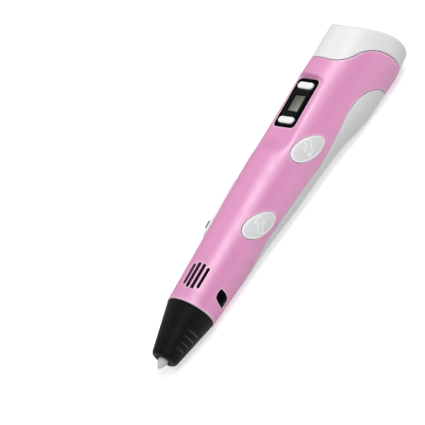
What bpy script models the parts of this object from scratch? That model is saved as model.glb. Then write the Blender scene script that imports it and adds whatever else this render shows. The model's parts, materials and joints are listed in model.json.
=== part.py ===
"""A pen that feeds and melts plastic filament: casing, display, keys, drive and hot end.

The pen is drawn in its own frame: X runs from the nozzle to the rear end along the
filament axis, Z points to the display and the two large keys face -Y. The empty named pen
then lays it on its belly, with the middle of its footprint at the origin.
"""

import math

import bpy
import bmesh
from mathutils import Matrix, Vector

PEN_LENGTH = 0.1824
NOZZLE_TIP_X = 0.0015
REAR_X = NOZZLE_TIP_X + PEN_LENGTH


def at(share):
    """Place along the pen, as a share of its length."""
    return share * PEN_LENGTH


# Clearances and walls
FIT = 0.0003            # gap between pieces that seat on or pass through each other
WALL = 0.0018           # pink upper casing
COVER_WALL = 0.0024     # white belly cover
CAP_WALL = 0.0033       # white end cap
CAP_LIP = 0.0040        # reach of the end cap's lip into the casing

# Casing sections, front to rear: place along the pen, then the reach of the skin above,
# below and to each side of the filament axis
GRIP_R = 0.01135
GRIP_X = 0.0305
CASING = (
    (GRIP_X, GRIP_R, GRIP_R, GRIP_R),
    (at(0.2906), 0.01125, 0.01385, 0.0120),
    (at(0.4221), 0.0111, 0.0164, 0.0128),
    (at(0.5208), 0.0111, 0.0193, 0.0134),
    (at(0.6195), 0.01045, 0.0214, 0.0140),
    (at(0.7182), 0.0095, 0.0241, 0.0146),
    (at(0.8059), 0.0092, 0.0287, 0.0150),
    (at(0.8772), 0.0082, 0.0298, 0.0154),
    (at(0.9430), 0.0081, 0.0309, 0.0155),
    (REAR_X, 0.0079, 0.0300, 0.0152),
)
REAR_FLAT_Z = -0.019    # height at which the rear end stands square to the pen
REAR_CROWN = 0.040      # radius of the rear end, seen from the side
REAR_BLEND_X = at(0.8224)
EDGE_ROUND = 0.0012
REAR_RINGS = (0.005, 0.010)     # rings of the rear face, in from the skin
BELLY_FLAT = 0.0010     # depth of the flat on which the pen rests

# Seams, seen from the side: the white cover under the pen and the white cap behind it
BELLY_SEAM = (
    (at(0.2939), -0.0152), (at(0.3125), -0.0115), (at(0.3947), -0.0082), (at(0.4934), -0.0092),
    (at(0.5921), -0.0110), (at(0.6469), -0.0119), (at(0.7237), -0.0106), (at(0.7840), -0.0093),
    (at(0.8388), -0.0114), (at(0.8772), -0.0179), (at(0.8936), -0.0267), (at(0.9002), -0.0340),
)
CAP_SEAM = (
    (at(0.8640), 0.0140), (at(0.8679), 0.0071), (at(0.8810), 0.0037), (at(0.8997), 0.0012),
    (at(0.9221), -0.0012), (at(0.9408), -0.0050), (at(0.9518), -0.0091), (at(0.9594), -0.0157),
    (at(0.9605), -0.0220), (at(0.9583), -0.0380),
)

# Display deck: a flat let into the top of the casing
DECK_Z = 0.0065
DECK_FRONT_X = at(0.5811)
DECK_RAMP = 0.013
DECK_REAR_X = at(0.8103)
DECK_STEP = 0.0016
BEZEL_X = at(0.7407)
BEZEL_SIZE = (0.0243, 0.0133)
BEZEL_CORNER = 0.0018
BEZEL_THICK = 0.0010
BEZEL_PROUD = 0.00015
BEZEL_LEDGE = 0.0007
GLASS_WINDOW = (0.0084, 0.0072)
GLASS_LAP = 0.0016
GLASS_THICK = 0.0008
GLASS_CORNER = 0.0005
PILL_SIZE = (0.0097, 0.0033)
PILL_EDGE = 0.0032      # from the end of the bezel to the middle of its key
PILL_PROUD = 0.00055
PILL_TRAVEL = 0.0005
PILL_FLANGE = 0.00015
SWITCH_SIDE = 0.0040

# Feed and retract keys on the right-hand side
KEY_SIZE = (0.0177, 0.0092)
KEY_TILT = math.radians(26.5)
FEED_KEY = (at(0.6447), -0.0011)
RETRACT_KEY = (at(0.4205), 0.0005)
KEY_PROUD = 0.0008
KEY_FLANGE = 0.0009
KEY_FLANGE_THICK = 0.0010
KEY_TRAVEL = 0.0007
KEY_STEM_R = 0.0015

# Speed slider on the left-hand side
SLIDER_X = at(0.4320)
SLIDER_ANGLE = math.radians(-55)
SLIDER_PLATE = (0.0305, 0.0080)
SLIDER_PLATE_THICK = 0.0026
SLIDER_PROUD = 0.0005
SLIDER_REST = -0.0088   # knob's place from the middle of the plate
SLIDER_BACK = 0.0025    # travel towards the nozzle
SLIDER_AHEAD = 0.0085   # travel towards the rear
KNOB_SIZE = (0.0042, 0.0036)
KNOB_TALL = 0.0012
KNOB_CORNER = 0.0008
KNOB_STEM = (0.0016, 0.0014)
POT_SIZE = (0.0175, 0.0060, 0.0024)

# Vents and indicator near the grip
VENT_X = 0.0433
VENT_ANGLE = math.radians(18.5)
VENT_SPAN = 0.0073
VENT_LENGTH = 0.0130
VENT_SLOT = 0.0013
VENT_ARCH = (0.62, 0.40)    # reach and height of the arch at each end, as shares of the span
VENT_COUNT = 4
LENS_X = 0.0405
LENS_ANGLE = math.radians(100.5)
LENS_SIZE = (0.0087, 0.0063)
LENS_TILT = math.radians(50)
LED_R = 0.0015
LED_LONG = 0.0030

# Nose cone and hot end
CONE_FRONT_X = 0.0057
CONE_FRONT_R = 0.0050
CONE_ROUND = 0.0009
CONE_STEP = 0.00015
CONE_MOUTH_R = 0.0030
CONE_MOUTH_LONG = 0.0022
CONE_MOUTH_FLARE = 0.0013
SPIGOT_LONG = 0.0055
SPIGOT_WALL = 0.0017
NOZZLE_TIP_R = 0.0007
NOZZLE_R = 0.0023
NOZZLE_BORE_R = 0.00035
NOZZLE_CONE = 0.0047
NOZZLE_SHOULDER_X = 0.0105
NOZZLE_SHOULDER_R = 0.0033
NOZZLE_END_X = 0.0160
NOZZLE_SOCKET = 0.0037
NOZZLE_BORE_LONG = 0.0020
NOZZLE_TAPER_X = 0.0042
BARREL_R = 0.0015
BARREL_BORE_R = 0.0010
HEATER_WALL = 0.0015
HEATER_LONG = 0.0157
INSULATION_WALL = 0.0010
INSULATION_LONG = 0.0170
THERMISTOR_R = 0.0008
THERMISTOR_LONG = 0.0036
GRIP_RIBS = 4
GRIP_RIB_START = 0.0099  # from the base of the cone to the first rib
GRIP_RIB_R = 0.00055
GRIP_RIB_PITCH = 0.0030
GRIP_RIB_SINK = 0.00025
GRIP_RIB_SPAN = math.radians(42)
GRIP_RIB_ANGLE = math.radians(90)

# Feed drive
DRIVE_X = at(0.5208)
FEED_R = 0.0040
FEED_TEETH = 24
FEED_TOOTH = 0.0005
FEED_FLANKS = (0.8, 0.3)
FEED_WIDTH = 0.0030
FILAMENT_R = 0.000875
SHAFT_R = 0.0010
WHEEL_TEETH = 14
WHEEL_ADDENDUM = 0.0005
WHEEL_DEDENDUM = 0.0006
WHEEL_FLANKS = (0.40, 0.22)
WORM_PITCH = 0.0016
WORM_R = 0.0024
WORM_ROOT_R = 0.0013
WORM_LONG = 0.0144
THREAD_CREST = 0.00035
THREAD_ROOT = 0.00075
WHEEL_WIDTH = 0.0020
WHEEL_Y = 0.0033
MESH_SLACK = 0.00010
IDLER_R = 0.0030
IDLER_WIDTH = 0.0025
FRAME_FRONT_X = at(0.4523)
FRAME_REAR_X = at(0.6096)
FRAME_BLOCK = 0.0048
FRAME_TAIL = 0.0080
FRAME_PLATE = 0.0016
FRAME_RIGHT_Y = -0.0046
FRAME_LEFT_Y = 0.0070
FRAME_TOP_Z = 0.0054
FRAME_SIDE_Z = -0.0080
FRAME_SILL_Z = -0.0032
MOTOR_PLATE = 0.0026
MOTOR_R = 0.0050
GEARBOX_LONG = 0.0097
MOTOR_LONG = 0.0190
MOTOR_BOSS_R = 0.0020
MOTOR_BOSS_LONG = 0.0010
SHAFT_ENGAGE = 0.0040

# Filament path and supply socket at the rear end
GUIDE_R = 0.0017
GUIDE_BORE_R = 0.00115
INLET_R = 0.0030
INLET_BORE_R = 0.0012
INLET_SINK = 0.0060
INLET_FACE_X = REAR_X - INLET_SINK
INLET_LONG = 0.0070
JACK_Z = -0.0160
JACK_R = 0.0039
JACK_BORE_R = 0.00275
JACK_PIN_R = 0.0010
JACK_LONG = 0.0140
JACK_DEPTH = 0.0095
JACK_SINK = 0.0006
JACK_PIN_SINK = 0.0010

# Circuit boards
BOARD_THICK = 0.0008
BOARD_Z = 0.0020        # underside of the main board
BOARD_FRONT_X = at(0.6140)
BOARD_REAR_X = at(0.8059)
BOARD_TONGUE_X = at(0.8279)
BOARD_TONGUE_Y = 0.0032
BOARD_RIGHT = 0.0066     # reach of the main board towards the keys
BOARD_LEFT = 0.0075
KEY_BOARD_Y = -0.0056   # inner face of the key board
KEY_BOARD_X = (at(0.3618), at(0.6963))
KEY_BOARD_Z = (-0.0050, 0.0008)
KEY_SWITCH_TALL = 0.0014

# Fasteners: radius of shank and head, and height of the head
SCREW_R = 0.00085
SCREW_HEAD_R = 0.0018
SCREW_HEAD = 0.0012
POST_R = 0.0020
DRIVE_SCREW_Y = 0.0042
DRIVE_SCREW_X = (FRAME_FRONT_X + FRAME_BLOCK / 2, FRAME_REAR_X - FRAME_TAIL * 0.35)
BOARD_SCREWS = ((at(0.6332), 0.0052), (at(0.8169), -0.0045))
COVER_SCREWS = ((at(0.3289), 0.0045, -0.0090), (at(0.8251), 0.0060, -0.0200))
COVER_BOSS_R = 0.0026
COVER_SCREW_HOLD = 0.0060

# Leads: radius, then the places each pair passes
LEAD_R = 0.00045
MOTOR_LEAD_X = (at(0.7703), at(0.7895))
MOTOR_LEAD_Y = 0.0046
MOTOR_LEAD_Z = -0.0050
MOTOR_TAG = 0.0033
JACK_LEAD_Y = 0.0031
JACK_LEAD_ROUTE = ((at(0.8279), -0.0065), (at(0.7993), -0.0015))
JACK_LEAD_END_X = at(0.7982)
HEATER_LEAD_Y = (-0.0030, -0.0018)
HEATER_LEAD_DROP = (0.0, -0.0014)
HEATER_LEAD_ROUTE = (
    (0.0363, 0.0, -0.0030), (at(0.2632), 0.0, -0.0060), (at(0.3947), 0.0, -0.0100),
    (at(0.5592), -0.0008, -0.0102), (at(0.6086), -0.0012, -0.0060), (at(0.6277), -0.0012, BOARD_Z - FIT),
)

# Fineness of the solids
AROUND = 36
RING_STEP = 0.010
TURNED_STEPS = 20
SMALL_STEPS = 12

SIDE = Matrix.Rotation(math.radians(90), 4, "X")


def start_scene():
    for old in list(bpy.data.objects):
        bpy.data.objects.remove(old, do_unlink=True)
    groups = []
    for name in ("three_d_pen", "cutters"):
        group = bpy.data.collections.new(name)
        bpy.context.scene.collection.children.link(group)
        groups.append(group)
    pen = bpy.data.objects.new("pen", None)
    groups[0].objects.link(pen)
    return groups[0], groups[1], pen


PARTS, CUTTERS, PEN = start_scene()
FINISHES = {}


def finish(name, colour, roughness, metallic=0.0):
    material = bpy.data.materials.new(name)
    material.use_nodes = True
    shader = material.node_tree.nodes["Principled BSDF"]
    shader.inputs["Base Color"].default_value = (*colour, 1.0)
    shader.inputs["Roughness"].default_value = roughness
    shader.inputs["Metallic"].default_value = metallic
    FINISHES[name] = material


def make_finishes():
    finish("pink_casing", (0.80, 0.33, 0.58), 0.35)
    finish("white_casing", (0.80, 0.81, 0.82), 0.35)
    finish("black_nose", (0.012, 0.012, 0.013), 0.45)
    finish("black_bezel", (0.006, 0.006, 0.007), 0.20)
    finish("key_white", (0.72, 0.73, 0.73), 0.30)
    finish("display_glass", (0.18, 0.19, 0.16), 0.10)
    finish("dark_lens", (0.004, 0.004, 0.004), 0.12)
    finish("ceramic", (0.52, 0.52, 0.52), 0.40)
    finish("steel", (0.60, 0.60, 0.61), 0.30, 1.0)
    finish("brass", (0.72, 0.52, 0.22), 0.32, 1.0)
    finish("aluminium", (0.70, 0.70, 0.71), 0.35, 1.0)
    finish("mica", (0.55, 0.42, 0.25), 0.70)
    finish("frame_nylon", (0.06, 0.06, 0.065), 0.55)
    finish("guide_white", (0.80, 0.80, 0.78), 0.45)
    finish("board_green", (0.02, 0.16, 0.07), 0.45)
    finish("switch_black", (0.02, 0.02, 0.02), 0.50)
    finish("knob_grey", (0.10, 0.10, 0.105), 0.50)
    finish("lead_red", (0.50, 0.02, 0.02), 0.45)
    finish("lead_black", (0.015, 0.015, 0.015), 0.45)


def add_part(name, data, material):
    part = bpy.data.objects.new(name, data)
    PARTS.objects.link(part)
    part.parent = PEN
    if material:
        data.materials.append(FINISHES[material])
    return part


def add_tool(name, data):
    tool = bpy.data.objects.new(name, data)
    CUTTERS.objects.link(tool)
    tool.parent = PEN
    tool.hide_render = True
    tool.display_type = "WIRE"
    return tool


def carve(piece, tool, operation="DIFFERENCE"):
    step = piece.modifiers.new(tool.name, "BOOLEAN")
    step.operation = operation
    step.object = tool
    step.solver = "EXACT"


def set_origin(part, point):
    part.data.transform(Matrix.Translation(-Vector(point)))
    part.location = point


# Casing skin

def smooth_step(value):
    share = min(max(value, 0.0), 1.0)
    return share * share * (3.0 - 2.0 * share)


def slope_at(rows, i, column):
    before = rows[max(i - 1, 0)]
    after = rows[min(i + 1, len(rows) - 1)]
    return (after[column] - before[column]) / (after[0] - before[0])


def section(x):
    """Reach of the skin above, below and beside the filament axis at x."""
    i = 0
    while i < len(CASING) - 2 and CASING[i + 1][0] <= x:
        i += 1
    low, high = CASING[i], CASING[i + 1]
    step = high[0] - low[0]
    t = min(max((x - low[0]) / step, 0.0), 1.0)
    reach = []
    for column in (1, 2, 3):
        rise = smooth_step(t)
        value = low[column] + (high[column] - low[column]) * rise
        value += slope_at(CASING, i, column) * step * t * (1 - t) ** 2
        value -= slope_at(CASING, i + 1, column) * step * t * t * (1 - t)
        reach.append(value)
    return reach


def deck_share(x):
    rise = smooth_step((x - DECK_FRONT_X) / DECK_RAMP)
    return rise * (1.0 - smooth_step((x - DECK_REAR_X) / DECK_STEP))


def rear_crown(z):
    return (z - REAR_FLAT_Z) ** 2 / (2.0 * REAR_CROWN)


def skin_point(x, angle, inset=0.0):
    """Point of the skin at an angle from the top, turning towards the large keys."""
    top, bottom, half = section(x)
    y = -(half - inset) * math.sin(angle)
    z = (top - bottom) / 2.0 + ((top + bottom) / 2.0 - inset) * math.cos(angle)
    deck = DECK_Z - inset
    if z > deck:
        z -= deck_share(x) * (z - deck)
    share = smooth_step((x - REAR_BLEND_X) / (REAR_X - REAR_BLEND_X))
    return Vector((x - share * rear_crown(z), y, z))


def skin_frame(x, angle):
    """Frame on the skin: first axis along the pen, third axis out of it."""
    nudge = 1e-4
    along = skin_point(x + nudge, angle) - skin_point(x - nudge, angle)
    across = skin_point(x, angle + nudge) - skin_point(x, angle - nudge)
    out = along.cross(across).normalized()
    if out.dot(skin_point(x, angle) - Vector((x, 0.0, 0.0))) < 0.0:
        out.negate()
    along.normalize()
    side = out.cross(along)
    turn = Matrix((along, side, out)).transposed().to_4x4()
    return Matrix.Translation(skin_point(x, angle)) @ turn


def ring_places(x_from, x_to):
    marks = [DECK_FRONT_X, DECK_FRONT_X + DECK_RAMP / 2, DECK_FRONT_X + DECK_RAMP]
    marks += [DECK_REAR_X, DECK_REAR_X + DECK_STEP / 2, DECK_REAR_X + DECK_STEP]
    count = max(2, round((x_to - x_from) / RING_STEP))
    places = [x_from + (x_to - x_from) * i / count for i in range(count + 1)]
    near = RING_STEP / 4
    inner = [x for x in places[1:-1] if all(abs(x - mark) > near for mark in marks)]
    inner += [mark for mark in marks if x_from + near < mark < x_to - near]
    return [x_from] + sorted(inner) + [x_to]


def casing_mesh(name, inset, x_from, x_to, rounded=False):
    """Closed solid that follows the skin, drawn in by inset."""
    shape = bmesh.new()
    stops = [(x, 0.0) for x in ring_places(x_from, x_to - (EDGE_ROUND if rounded else 0.0))]
    if rounded:
        for turn in (30, 60, 85):
            lean = math.radians(turn)
            reach = x_to - EDGE_ROUND + EDGE_ROUND * math.sin(lean)
            stops.append((reach, EDGE_ROUND * (1.0 - math.cos(lean))))
        stops += [(x_to, draw) for draw in REAR_RINGS]
    rings = []
    for x, draw in stops:
        ring = []
        for i in range(AROUND):
            angle = 2.0 * math.pi * i / AROUND
            ring.append(shape.verts.new(skin_point(x, angle, inset + draw)))
        rings.append(ring)
    for near, far in zip(rings, rings[1:]):
        for i in range(AROUND):
            j = (i + 1) % AROUND
            shape.faces.new((near[i], near[j], far[j], far[i]))
    for ring in (rings[0], rings[-1]):
        middle = sum((vert.co for vert in ring), Vector()) / AROUND
        if ring is rings[-1] and x_to > REAR_BLEND_X:
            share = smooth_step((x_to - REAR_BLEND_X) / (REAR_X - REAR_BLEND_X))
            middle.x = x_to - share * rear_crown(middle.z)
        hub = shape.verts.new(middle)
        for i in range(AROUND):
            shape.faces.new((ring[i], ring[(i + 1) % AROUND], hub))
    bmesh.ops.triangulate(shape, faces=shape.faces)
    bmesh.ops.recalc_face_normals(shape, faces=shape.faces)
    mesh = bpy.data.meshes.new(name)
    shape.to_mesh(mesh)
    shape.free()
    mesh.shade_smooth()
    return mesh


# Outlines and simple solids

def smooth_path(points, steps=4):
    """Points on a smooth curve through the given ones."""
    path = []
    last = len(points) - 1
    for i in range(last):
        p0, p1 = points[max(i - 1, 0)], points[i]
        p2, p3 = points[i + 1], points[min(i + 2, last)]
        for k in range(steps):
            t = k / steps
            path.append(tuple(
                0.5 * (2 * b + (c - a) * t + (2 * a - 5 * b + 4 * c - d) * t * t
                       + (3 * b - a - 3 * c + d) * t ** 3)
                for a, b, c, d in zip(p0, p1, p2, p3)))
    path.append(tuple(points[last]))
    return path


def shift_path(path, distance):
    """Path moved sideways, to its right, by a distance."""
    moved = []
    for i, point in enumerate(path):
        before = path[max(i - 1, 0)]
        after = path[min(i + 1, len(path) - 1)]
        dx, dz = after[0] - before[0], after[1] - before[1]
        long = math.hypot(dx, dz)
        moved.append((point[0] + dz / long * distance, point[1] - dx / long * distance))
    return moved


def ellipse(long, wide, count, turn=0.0):
    points = []
    for i in range(count):
        angle = 2.0 * math.pi * i / count
        u, v = long / 2 * math.cos(angle), wide / 2 * math.sin(angle)
        points.append((u * math.cos(turn) - v * math.sin(turn), u * math.sin(turn) + v * math.cos(turn)))
    return points


def circle(radius, count=SMALL_STEPS):
    return ellipse(2 * radius, 2 * radius, count)


def rounded_box(long, wide, corner, steps=4):
    points = []
    for quarter, (u, v) in enumerate(((1, 1), (-1, 1), (-1, -1), (1, -1))):
        for k in range(steps + 1):
            angle = math.radians(90) * (quarter + k / steps)
            points.append((u * (long / 2 - corner) + corner * math.cos(angle),
                           v * (wide / 2 - corner) + corner * math.sin(angle)))
    return points


def stadium(long, wide, steps=6):
    return rounded_box(long, wide, min(long, wide) / 2 * 0.999, steps)


def leaf(long, wide, turn, steps=6):
    """Almond outline: two equal arcs that meet in points."""
    radius = (long ** 2 + wide ** 2) / (4.0 * wide)
    half = math.asin(long / 2 / radius)
    points = []
    for flip in (1, -1):
        for k in range(steps):
            angle = half - 2.0 * half * k / steps
            u = flip * radius * math.sin(angle)
            v = flip * (radius * math.cos(angle) - (radius - wide / 2))
            points.append((u * math.cos(turn) - v * math.sin(turn),
                           u * math.sin(turn) + v * math.cos(turn)))
    return points


def move_outline(points, u, v):
    return [(point[0] + u, point[1] + v) for point in points]


def flat_mesh(name, outlines, thick, frame):
    """Flat plate of the given outlines, the first of them outside, in a frame's plane."""
    curve = bpy.data.curves.new(name, "CURVE")
    curve.dimensions = "2D"
    curve.fill_mode = "BOTH"
    curve.extrude = thick / 2
    for outline in outlines:
        spline = curve.splines.new("POLY")
        spline.points.add(len(outline) - 1)
        for spot, (u, v) in zip(spline.points, outline):
            spot.co = (u, v, 0.0, 1.0)
        spline.use_cyclic_u = True
    guide = bpy.data.objects.new(name, curve)
    mesh = bpy.data.meshes.new_from_object(guide)
    bpy.data.objects.remove(guide)
    shape = bmesh.new()
    shape.from_mesh(mesh)
    bmesh.ops.remove_doubles(shape, verts=shape.verts, dist=1e-6)
    bmesh.ops.recalc_face_normals(shape, faces=shape.faces)
    shape.to_mesh(mesh)
    shape.free()
    mesh.transform(frame)
    return mesh


def box_mesh(name, low, high, frame=Matrix.Identity(4)):
    shape = bmesh.new()
    size = Vector(high) - Vector(low)
    place = Matrix.Translation((Vector(high) + Vector(low)) / 2)
    bmesh.ops.create_cube(shape, size=1.0, matrix=frame @ place @ Matrix.Diagonal((*size, 1.0)))
    mesh = bpy.data.meshes.new(name)
    shape.to_mesh(mesh)
    shape.free()
    return mesh


def rod_mesh(name, radius, start, end, count=SMALL_STEPS):
    """Round rod between two points."""
    start, end = Vector(start), Vector(end)
    run = end - start
    turn = run.to_track_quat("Z", "Y").to_matrix().to_4x4()
    shape = bmesh.new()
    bmesh.ops.create_cone(
        shape, cap_ends=True, segments=count, radius1=radius, radius2=radius, depth=run.length,
        matrix=Matrix.Translation((start + end) / 2) @ turn)
    mesh = bpy.data.meshes.new(name)
    shape.to_mesh(mesh)
    shape.free()
    return mesh


def turned(name, profile, material, place=(0.0, 0.0, 0.0), axis="X", closed=True, steps=TURNED_STEPS):
    """Turned piece from (radius, along) points that run down its outer side."""
    mesh = bpy.data.meshes.new(name)
    links = [(i, i + 1) for i in range(len(profile) - 1)]
    if closed:
        links.append((len(profile) - 1, 0))
    mesh.from_pydata([(radius, 0.0, along) for radius, along in profile], links, [])
    part = add_part(name, mesh, material)
    spin = part.modifiers.new("turn", "SCREW")
    spin.steps = spin.render_steps = steps
    spin.use_merge_vertices = True
    spin.merge_threshold = 1e-6
    part.location = place
    if axis == "X":
        part.rotation_euler = (0.0, math.radians(90), 0.0)
    if axis == "Y":
        part.rotation_euler = (math.radians(-90), 0.0, 0.0)
    return part


def tube(name, points, radius, material):
    """Lead that follows a smooth route through the given points."""
    route = smooth_path(points, 3)
    curve = bpy.data.curves.new(name, "CURVE")
    curve.dimensions = "3D"
    curve.bevel_depth = radius
    curve.bevel_resolution = 1
    curve.use_fill_caps = True
    spline = curve.splines.new("POLY")
    spline.points.add(len(route) - 1)
    for spot, point in zip(spline.points, route):
        spot.co = (*point, 1.0)
    return add_part(name, curve, material)


def screw(name, head_face, direction, long):
    """Round-headed screw: head_face is the middle of the seat under its head."""
    seat = Vector(head_face)
    way = Vector(direction).normalized()
    part = add_part(name, rod_mesh(name, SCREW_R, seat - way * SCREW_HEAD / 2, seat + way * long), "steel")
    head = add_tool(name + "_head", rod_mesh(name, SCREW_HEAD_R, seat - way * SCREW_HEAD, seat))
    carve(part, head, "UNION")
    return part


# Casing pieces

def lie_angle():
    """Slope of the plane that touches the grip's edge and cuts the belly's flat."""
    steps = 200
    front = CASING[0]
    slopes = []
    for i in range(1, steps):
        x = front[0] + (REAR_X - front[0]) * i / steps
        slopes.append(math.atan2(section(x)[1] - BELLY_FLAT - front[2], x - front[0]))
    return max(slopes)


def belly_flat(name):
    """Block under the plane on which the pen rests."""
    place = Matrix.Translation((GRIP_X, 0.0, -GRIP_R)) @ Matrix.Rotation(lie_angle(), 4, "Y")
    return box_mesh(name, (0.0, -PEN_LENGTH, -PEN_LENGTH), (PEN_LENGTH, PEN_LENGTH, 0.0), place)


def zone_mesh(name, seam, closing):
    wide = 4.0 * max(row[3] for row in CASING)
    return flat_mesh(name, [list(seam) + list(closing)], wide, SIDE)


def belly_zone(name, gap):
    deep = 2.0 * max(row[2] for row in CASING)
    seam = shift_path(smooth_path(BELLY_SEAM), gap)
    return zone_mesh(name, seam, ((seam[-1][0], -deep), (seam[0][0], -deep)))


def cap_zone(name, gap):
    far = PEN_LENGTH * 1.1
    seam = [(x + gap, z) for x, z in smooth_path(CAP_SEAM)]
    return zone_mesh(name, seam, ((far, seam[-1][1]), (far, seam[0][1])))


def key_outline(place, grow=0.0):
    outline = ellipse(KEY_SIZE[0] + 2 * grow, KEY_SIZE[1] + 2 * grow, 28, -KEY_TILT)
    return move_outline(outline, *place)


def key_prism(name, place, grow, deeper=0.0):
    half = section(place[0])[2]
    inner, outer = 0.55 * half - deeper, 1.5 * half
    side = Matrix.Translation((0.0, -(inner + outer) / 2, 0.0)) @ SIDE
    return flat_mesh(name, [key_outline(place, grow)], outer - inner, side)


def vent_slots():
    """One cutter for each slot; their ends follow an arch in front and behind."""
    pitch = VENT_SPAN / (VENT_COUNT - 1)
    radius = section(VENT_X)[0]
    for i in range(VENT_COUNT):
        offset = (i - (VENT_COUNT - 1) / 2) * pitch
        arch = math.sqrt(max(0.0, 1.0 - (offset / (VENT_SPAN * VENT_ARCH[0])) ** 2))
        long = VENT_LENGTH - 2 * (1.0 - arch) * VENT_SPAN * VENT_ARCH[1]
        frame = skin_frame(VENT_X, VENT_ANGLE + offset / radius)
        name = "vent_slot_%d" % (i + 1)
        yield add_tool(name, flat_mesh(name, [stadium(long, VENT_SLOT, 4)], 4 * WALL, frame))


def deck_frame(z):
    return Matrix.Translation((BEZEL_X, 0.0, z))


def screw_posts():
    """Posts under the casing: (name, x, y, foot) of each, and the bore each takes."""
    for i, x in enumerate(DRIVE_SCREW_X):
        yield "drive_post_%d" % (i + 1), x, DRIVE_SCREW_Y, FRAME_TOP_Z + FIT
    for i, (x, y) in enumerate(BOARD_SCREWS):
        yield "board_post_%d" % (i + 1), x, y, BOARD_Z + BOARD_THICK + FIT
    for i, (x, y, foot) in enumerate(COVER_SCREWS):
        yield "cover_post_%d" % (i + 1), x, y, foot


def skin_height(x, y):
    """Height of the upper skin above a place of the pen's plan."""
    half = section(x)[2]
    return skin_point(x, math.asin(min(abs(y) / half, 1.0))).z


def body_shell():
    shell = add_part("body_shell", casing_mesh("body_shell", 0.0, GRIP_X, REAR_X, True), "pink_casing")
    hollow = casing_mesh("body_hollow", WALL, GRIP_X - WALL, REAR_X - CAP_WALL)
    carve(shell, add_tool("body_hollow", hollow))
    carve(shell, add_tool("cap_zone_body", cap_zone("cap_zone_body", 0.0)))
    carve(shell, add_tool("belly_zone_body", belly_zone("belly_zone_body", 0.0)))
    for name, x, y, foot in screw_posts():
        crown = skin_height(x, y) - WALL / 2
        carve(shell, add_tool(name, rod_mesh(name, POST_R, (x, y, foot), (x, y, crown))), "UNION")
        bore = rod_mesh(name + "_bore", SCREW_R + FIT, (x, y, foot - FIT), (x, y, crown - WALL / 2))
        carve(shell, add_tool(name + "_bore", bore))
    pocket = rounded_box(BEZEL_SIZE[0] + 2 * FIT, BEZEL_SIZE[1] + 2 * FIT, BEZEL_CORNER)
    floor = DECK_Z + BEZEL_PROUD - BEZEL_THICK - FIT
    sink = flat_mesh("bezel_pocket", [pocket], 2 * WALL, deck_frame(floor + WALL))
    carve(shell, add_tool("bezel_pocket", sink))
    inner = rounded_box(BEZEL_SIZE[0] - 2 * BEZEL_LEDGE, BEZEL_SIZE[1] - 2 * BEZEL_LEDGE, BEZEL_CORNER)
    carve(shell, add_tool("bezel_opening", flat_mesh("bezel_opening", [inner], 4 * WALL, deck_frame(floor))))
    for name, place in (("feed", FEED_KEY), ("retract", RETRACT_KEY)):
        hole = key_prism(name + "_hole", place, FIT, KEY_TRAVEL + FIT)
        carve(shell, add_tool(name + "_hole", hole))
    slot = stadium(SLIDER_PLATE[0] + 2 * FIT, SLIDER_PLATE[1] + 2 * FIT)
    frame = skin_frame(SLIDER_X, SLIDER_ANGLE)
    carve(shell, add_tool("slider_hole", flat_mesh("slider_hole", [slot], 6 * WALL, frame)))
    eye = leaf(LENS_SIZE[0] + 2 * FIT, LENS_SIZE[1] + 2 * FIT, LENS_TILT)
    frame = skin_frame(LENS_X, LENS_ANGLE)
    carve(shell, add_tool("lens_hole", flat_mesh("lens_hole", [eye], 6 * WALL, frame)))
    for slot in vent_slots():
        carve(shell, slot)
    carve(shell, add_tool("belly_flat_body", belly_flat("belly_flat_body")))


def belly_cover():
    x_from, x_to = BELLY_SEAM[0][0] - 2 * WALL, BELLY_SEAM[-1][0] + 2 * WALL
    cover = add_part("belly_cover", casing_mesh("belly_cover", 0.0, x_from, x_to), "white_casing")
    hollow = casing_mesh("belly_hollow", COVER_WALL, x_from - FIT, x_to + FIT)
    carve(cover, add_tool("belly_hollow", hollow))
    for i, (x, y, foot) in enumerate(COVER_SCREWS):
        deep = section(x)[1]
        floor = -deep * math.sqrt(1.0 - (y / section(x)[2]) ** 2)
        name = "cover_boss_%d" % (i + 1)
        boss = rod_mesh(name, COVER_BOSS_R, (x, y, floor + COVER_WALL / 2), (x, y, foot - FIT))
        carve(cover, add_tool(name, boss), "UNION")
        bore = rod_mesh(name + "_bore", SCREW_R + FIT, (x, y, -2 * deep), (x, y, foot + FIT))
        carve(cover, add_tool(name + "_bore", bore))
        sink = rod_mesh(name + "_sink", SCREW_HEAD_R + FIT, (x, y, -2 * deep), (x, y, head_seat(x, y) - FIT))
        carve(cover, add_tool(name + "_sink", sink))
    carve(cover, add_tool("belly_zone_cover", belly_zone("belly_zone_cover", FIT)), "INTERSECT")
    carve(cover, add_tool("belly_flat_cover", belly_flat("belly_flat_cover")))


def head_seat(x, y):
    """Height of the seat for a cover screw's head, sunk into the cover."""
    deep, half = section(x)[1:]
    return -deep * math.sqrt(1.0 - (y / half) ** 2) + 2 * SCREW_HEAD


def end_cap():
    x_from = CAP_SEAM[0][0] - 2 * CAP_LIP
    cap = add_part("end_cap", casing_mesh("end_cap", 0.0, x_from, REAR_X, True), "white_casing")
    carve(cap, add_tool("cap_zone_cap", cap_zone("cap_zone_cap", FIT)), "INTERSECT")
    lip = add_tool("cap_lip", casing_mesh("cap_lip", WALL + FIT, x_from, REAR_X - CAP_WALL / 2))
    carve(lip, add_tool("cap_zone_lip", cap_zone("cap_zone_lip", FIT - CAP_LIP)), "INTERSECT")
    carve(cap, lip, "UNION")
    hollow = casing_mesh("cap_hollow", CAP_WALL, x_from - FIT, REAR_X - CAP_WALL)
    carve(cap, add_tool("cap_hollow", hollow))
    inlet = rod_mesh("inlet_hole", INLET_R + FIT, (INLET_FACE_X - INLET_LONG, 0, 0), (REAR_X, 0, 0), 24)
    carve(cap, add_tool("inlet_hole", inlet))
    start = (REAR_X - JACK_LONG, 0, JACK_Z)
    jack = rod_mesh("jack_hole", JACK_R + FIT, start, (REAR_X + JACK_LONG, 0, JACK_Z), 24)
    carve(cap, add_tool("jack_hole", jack))


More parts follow.
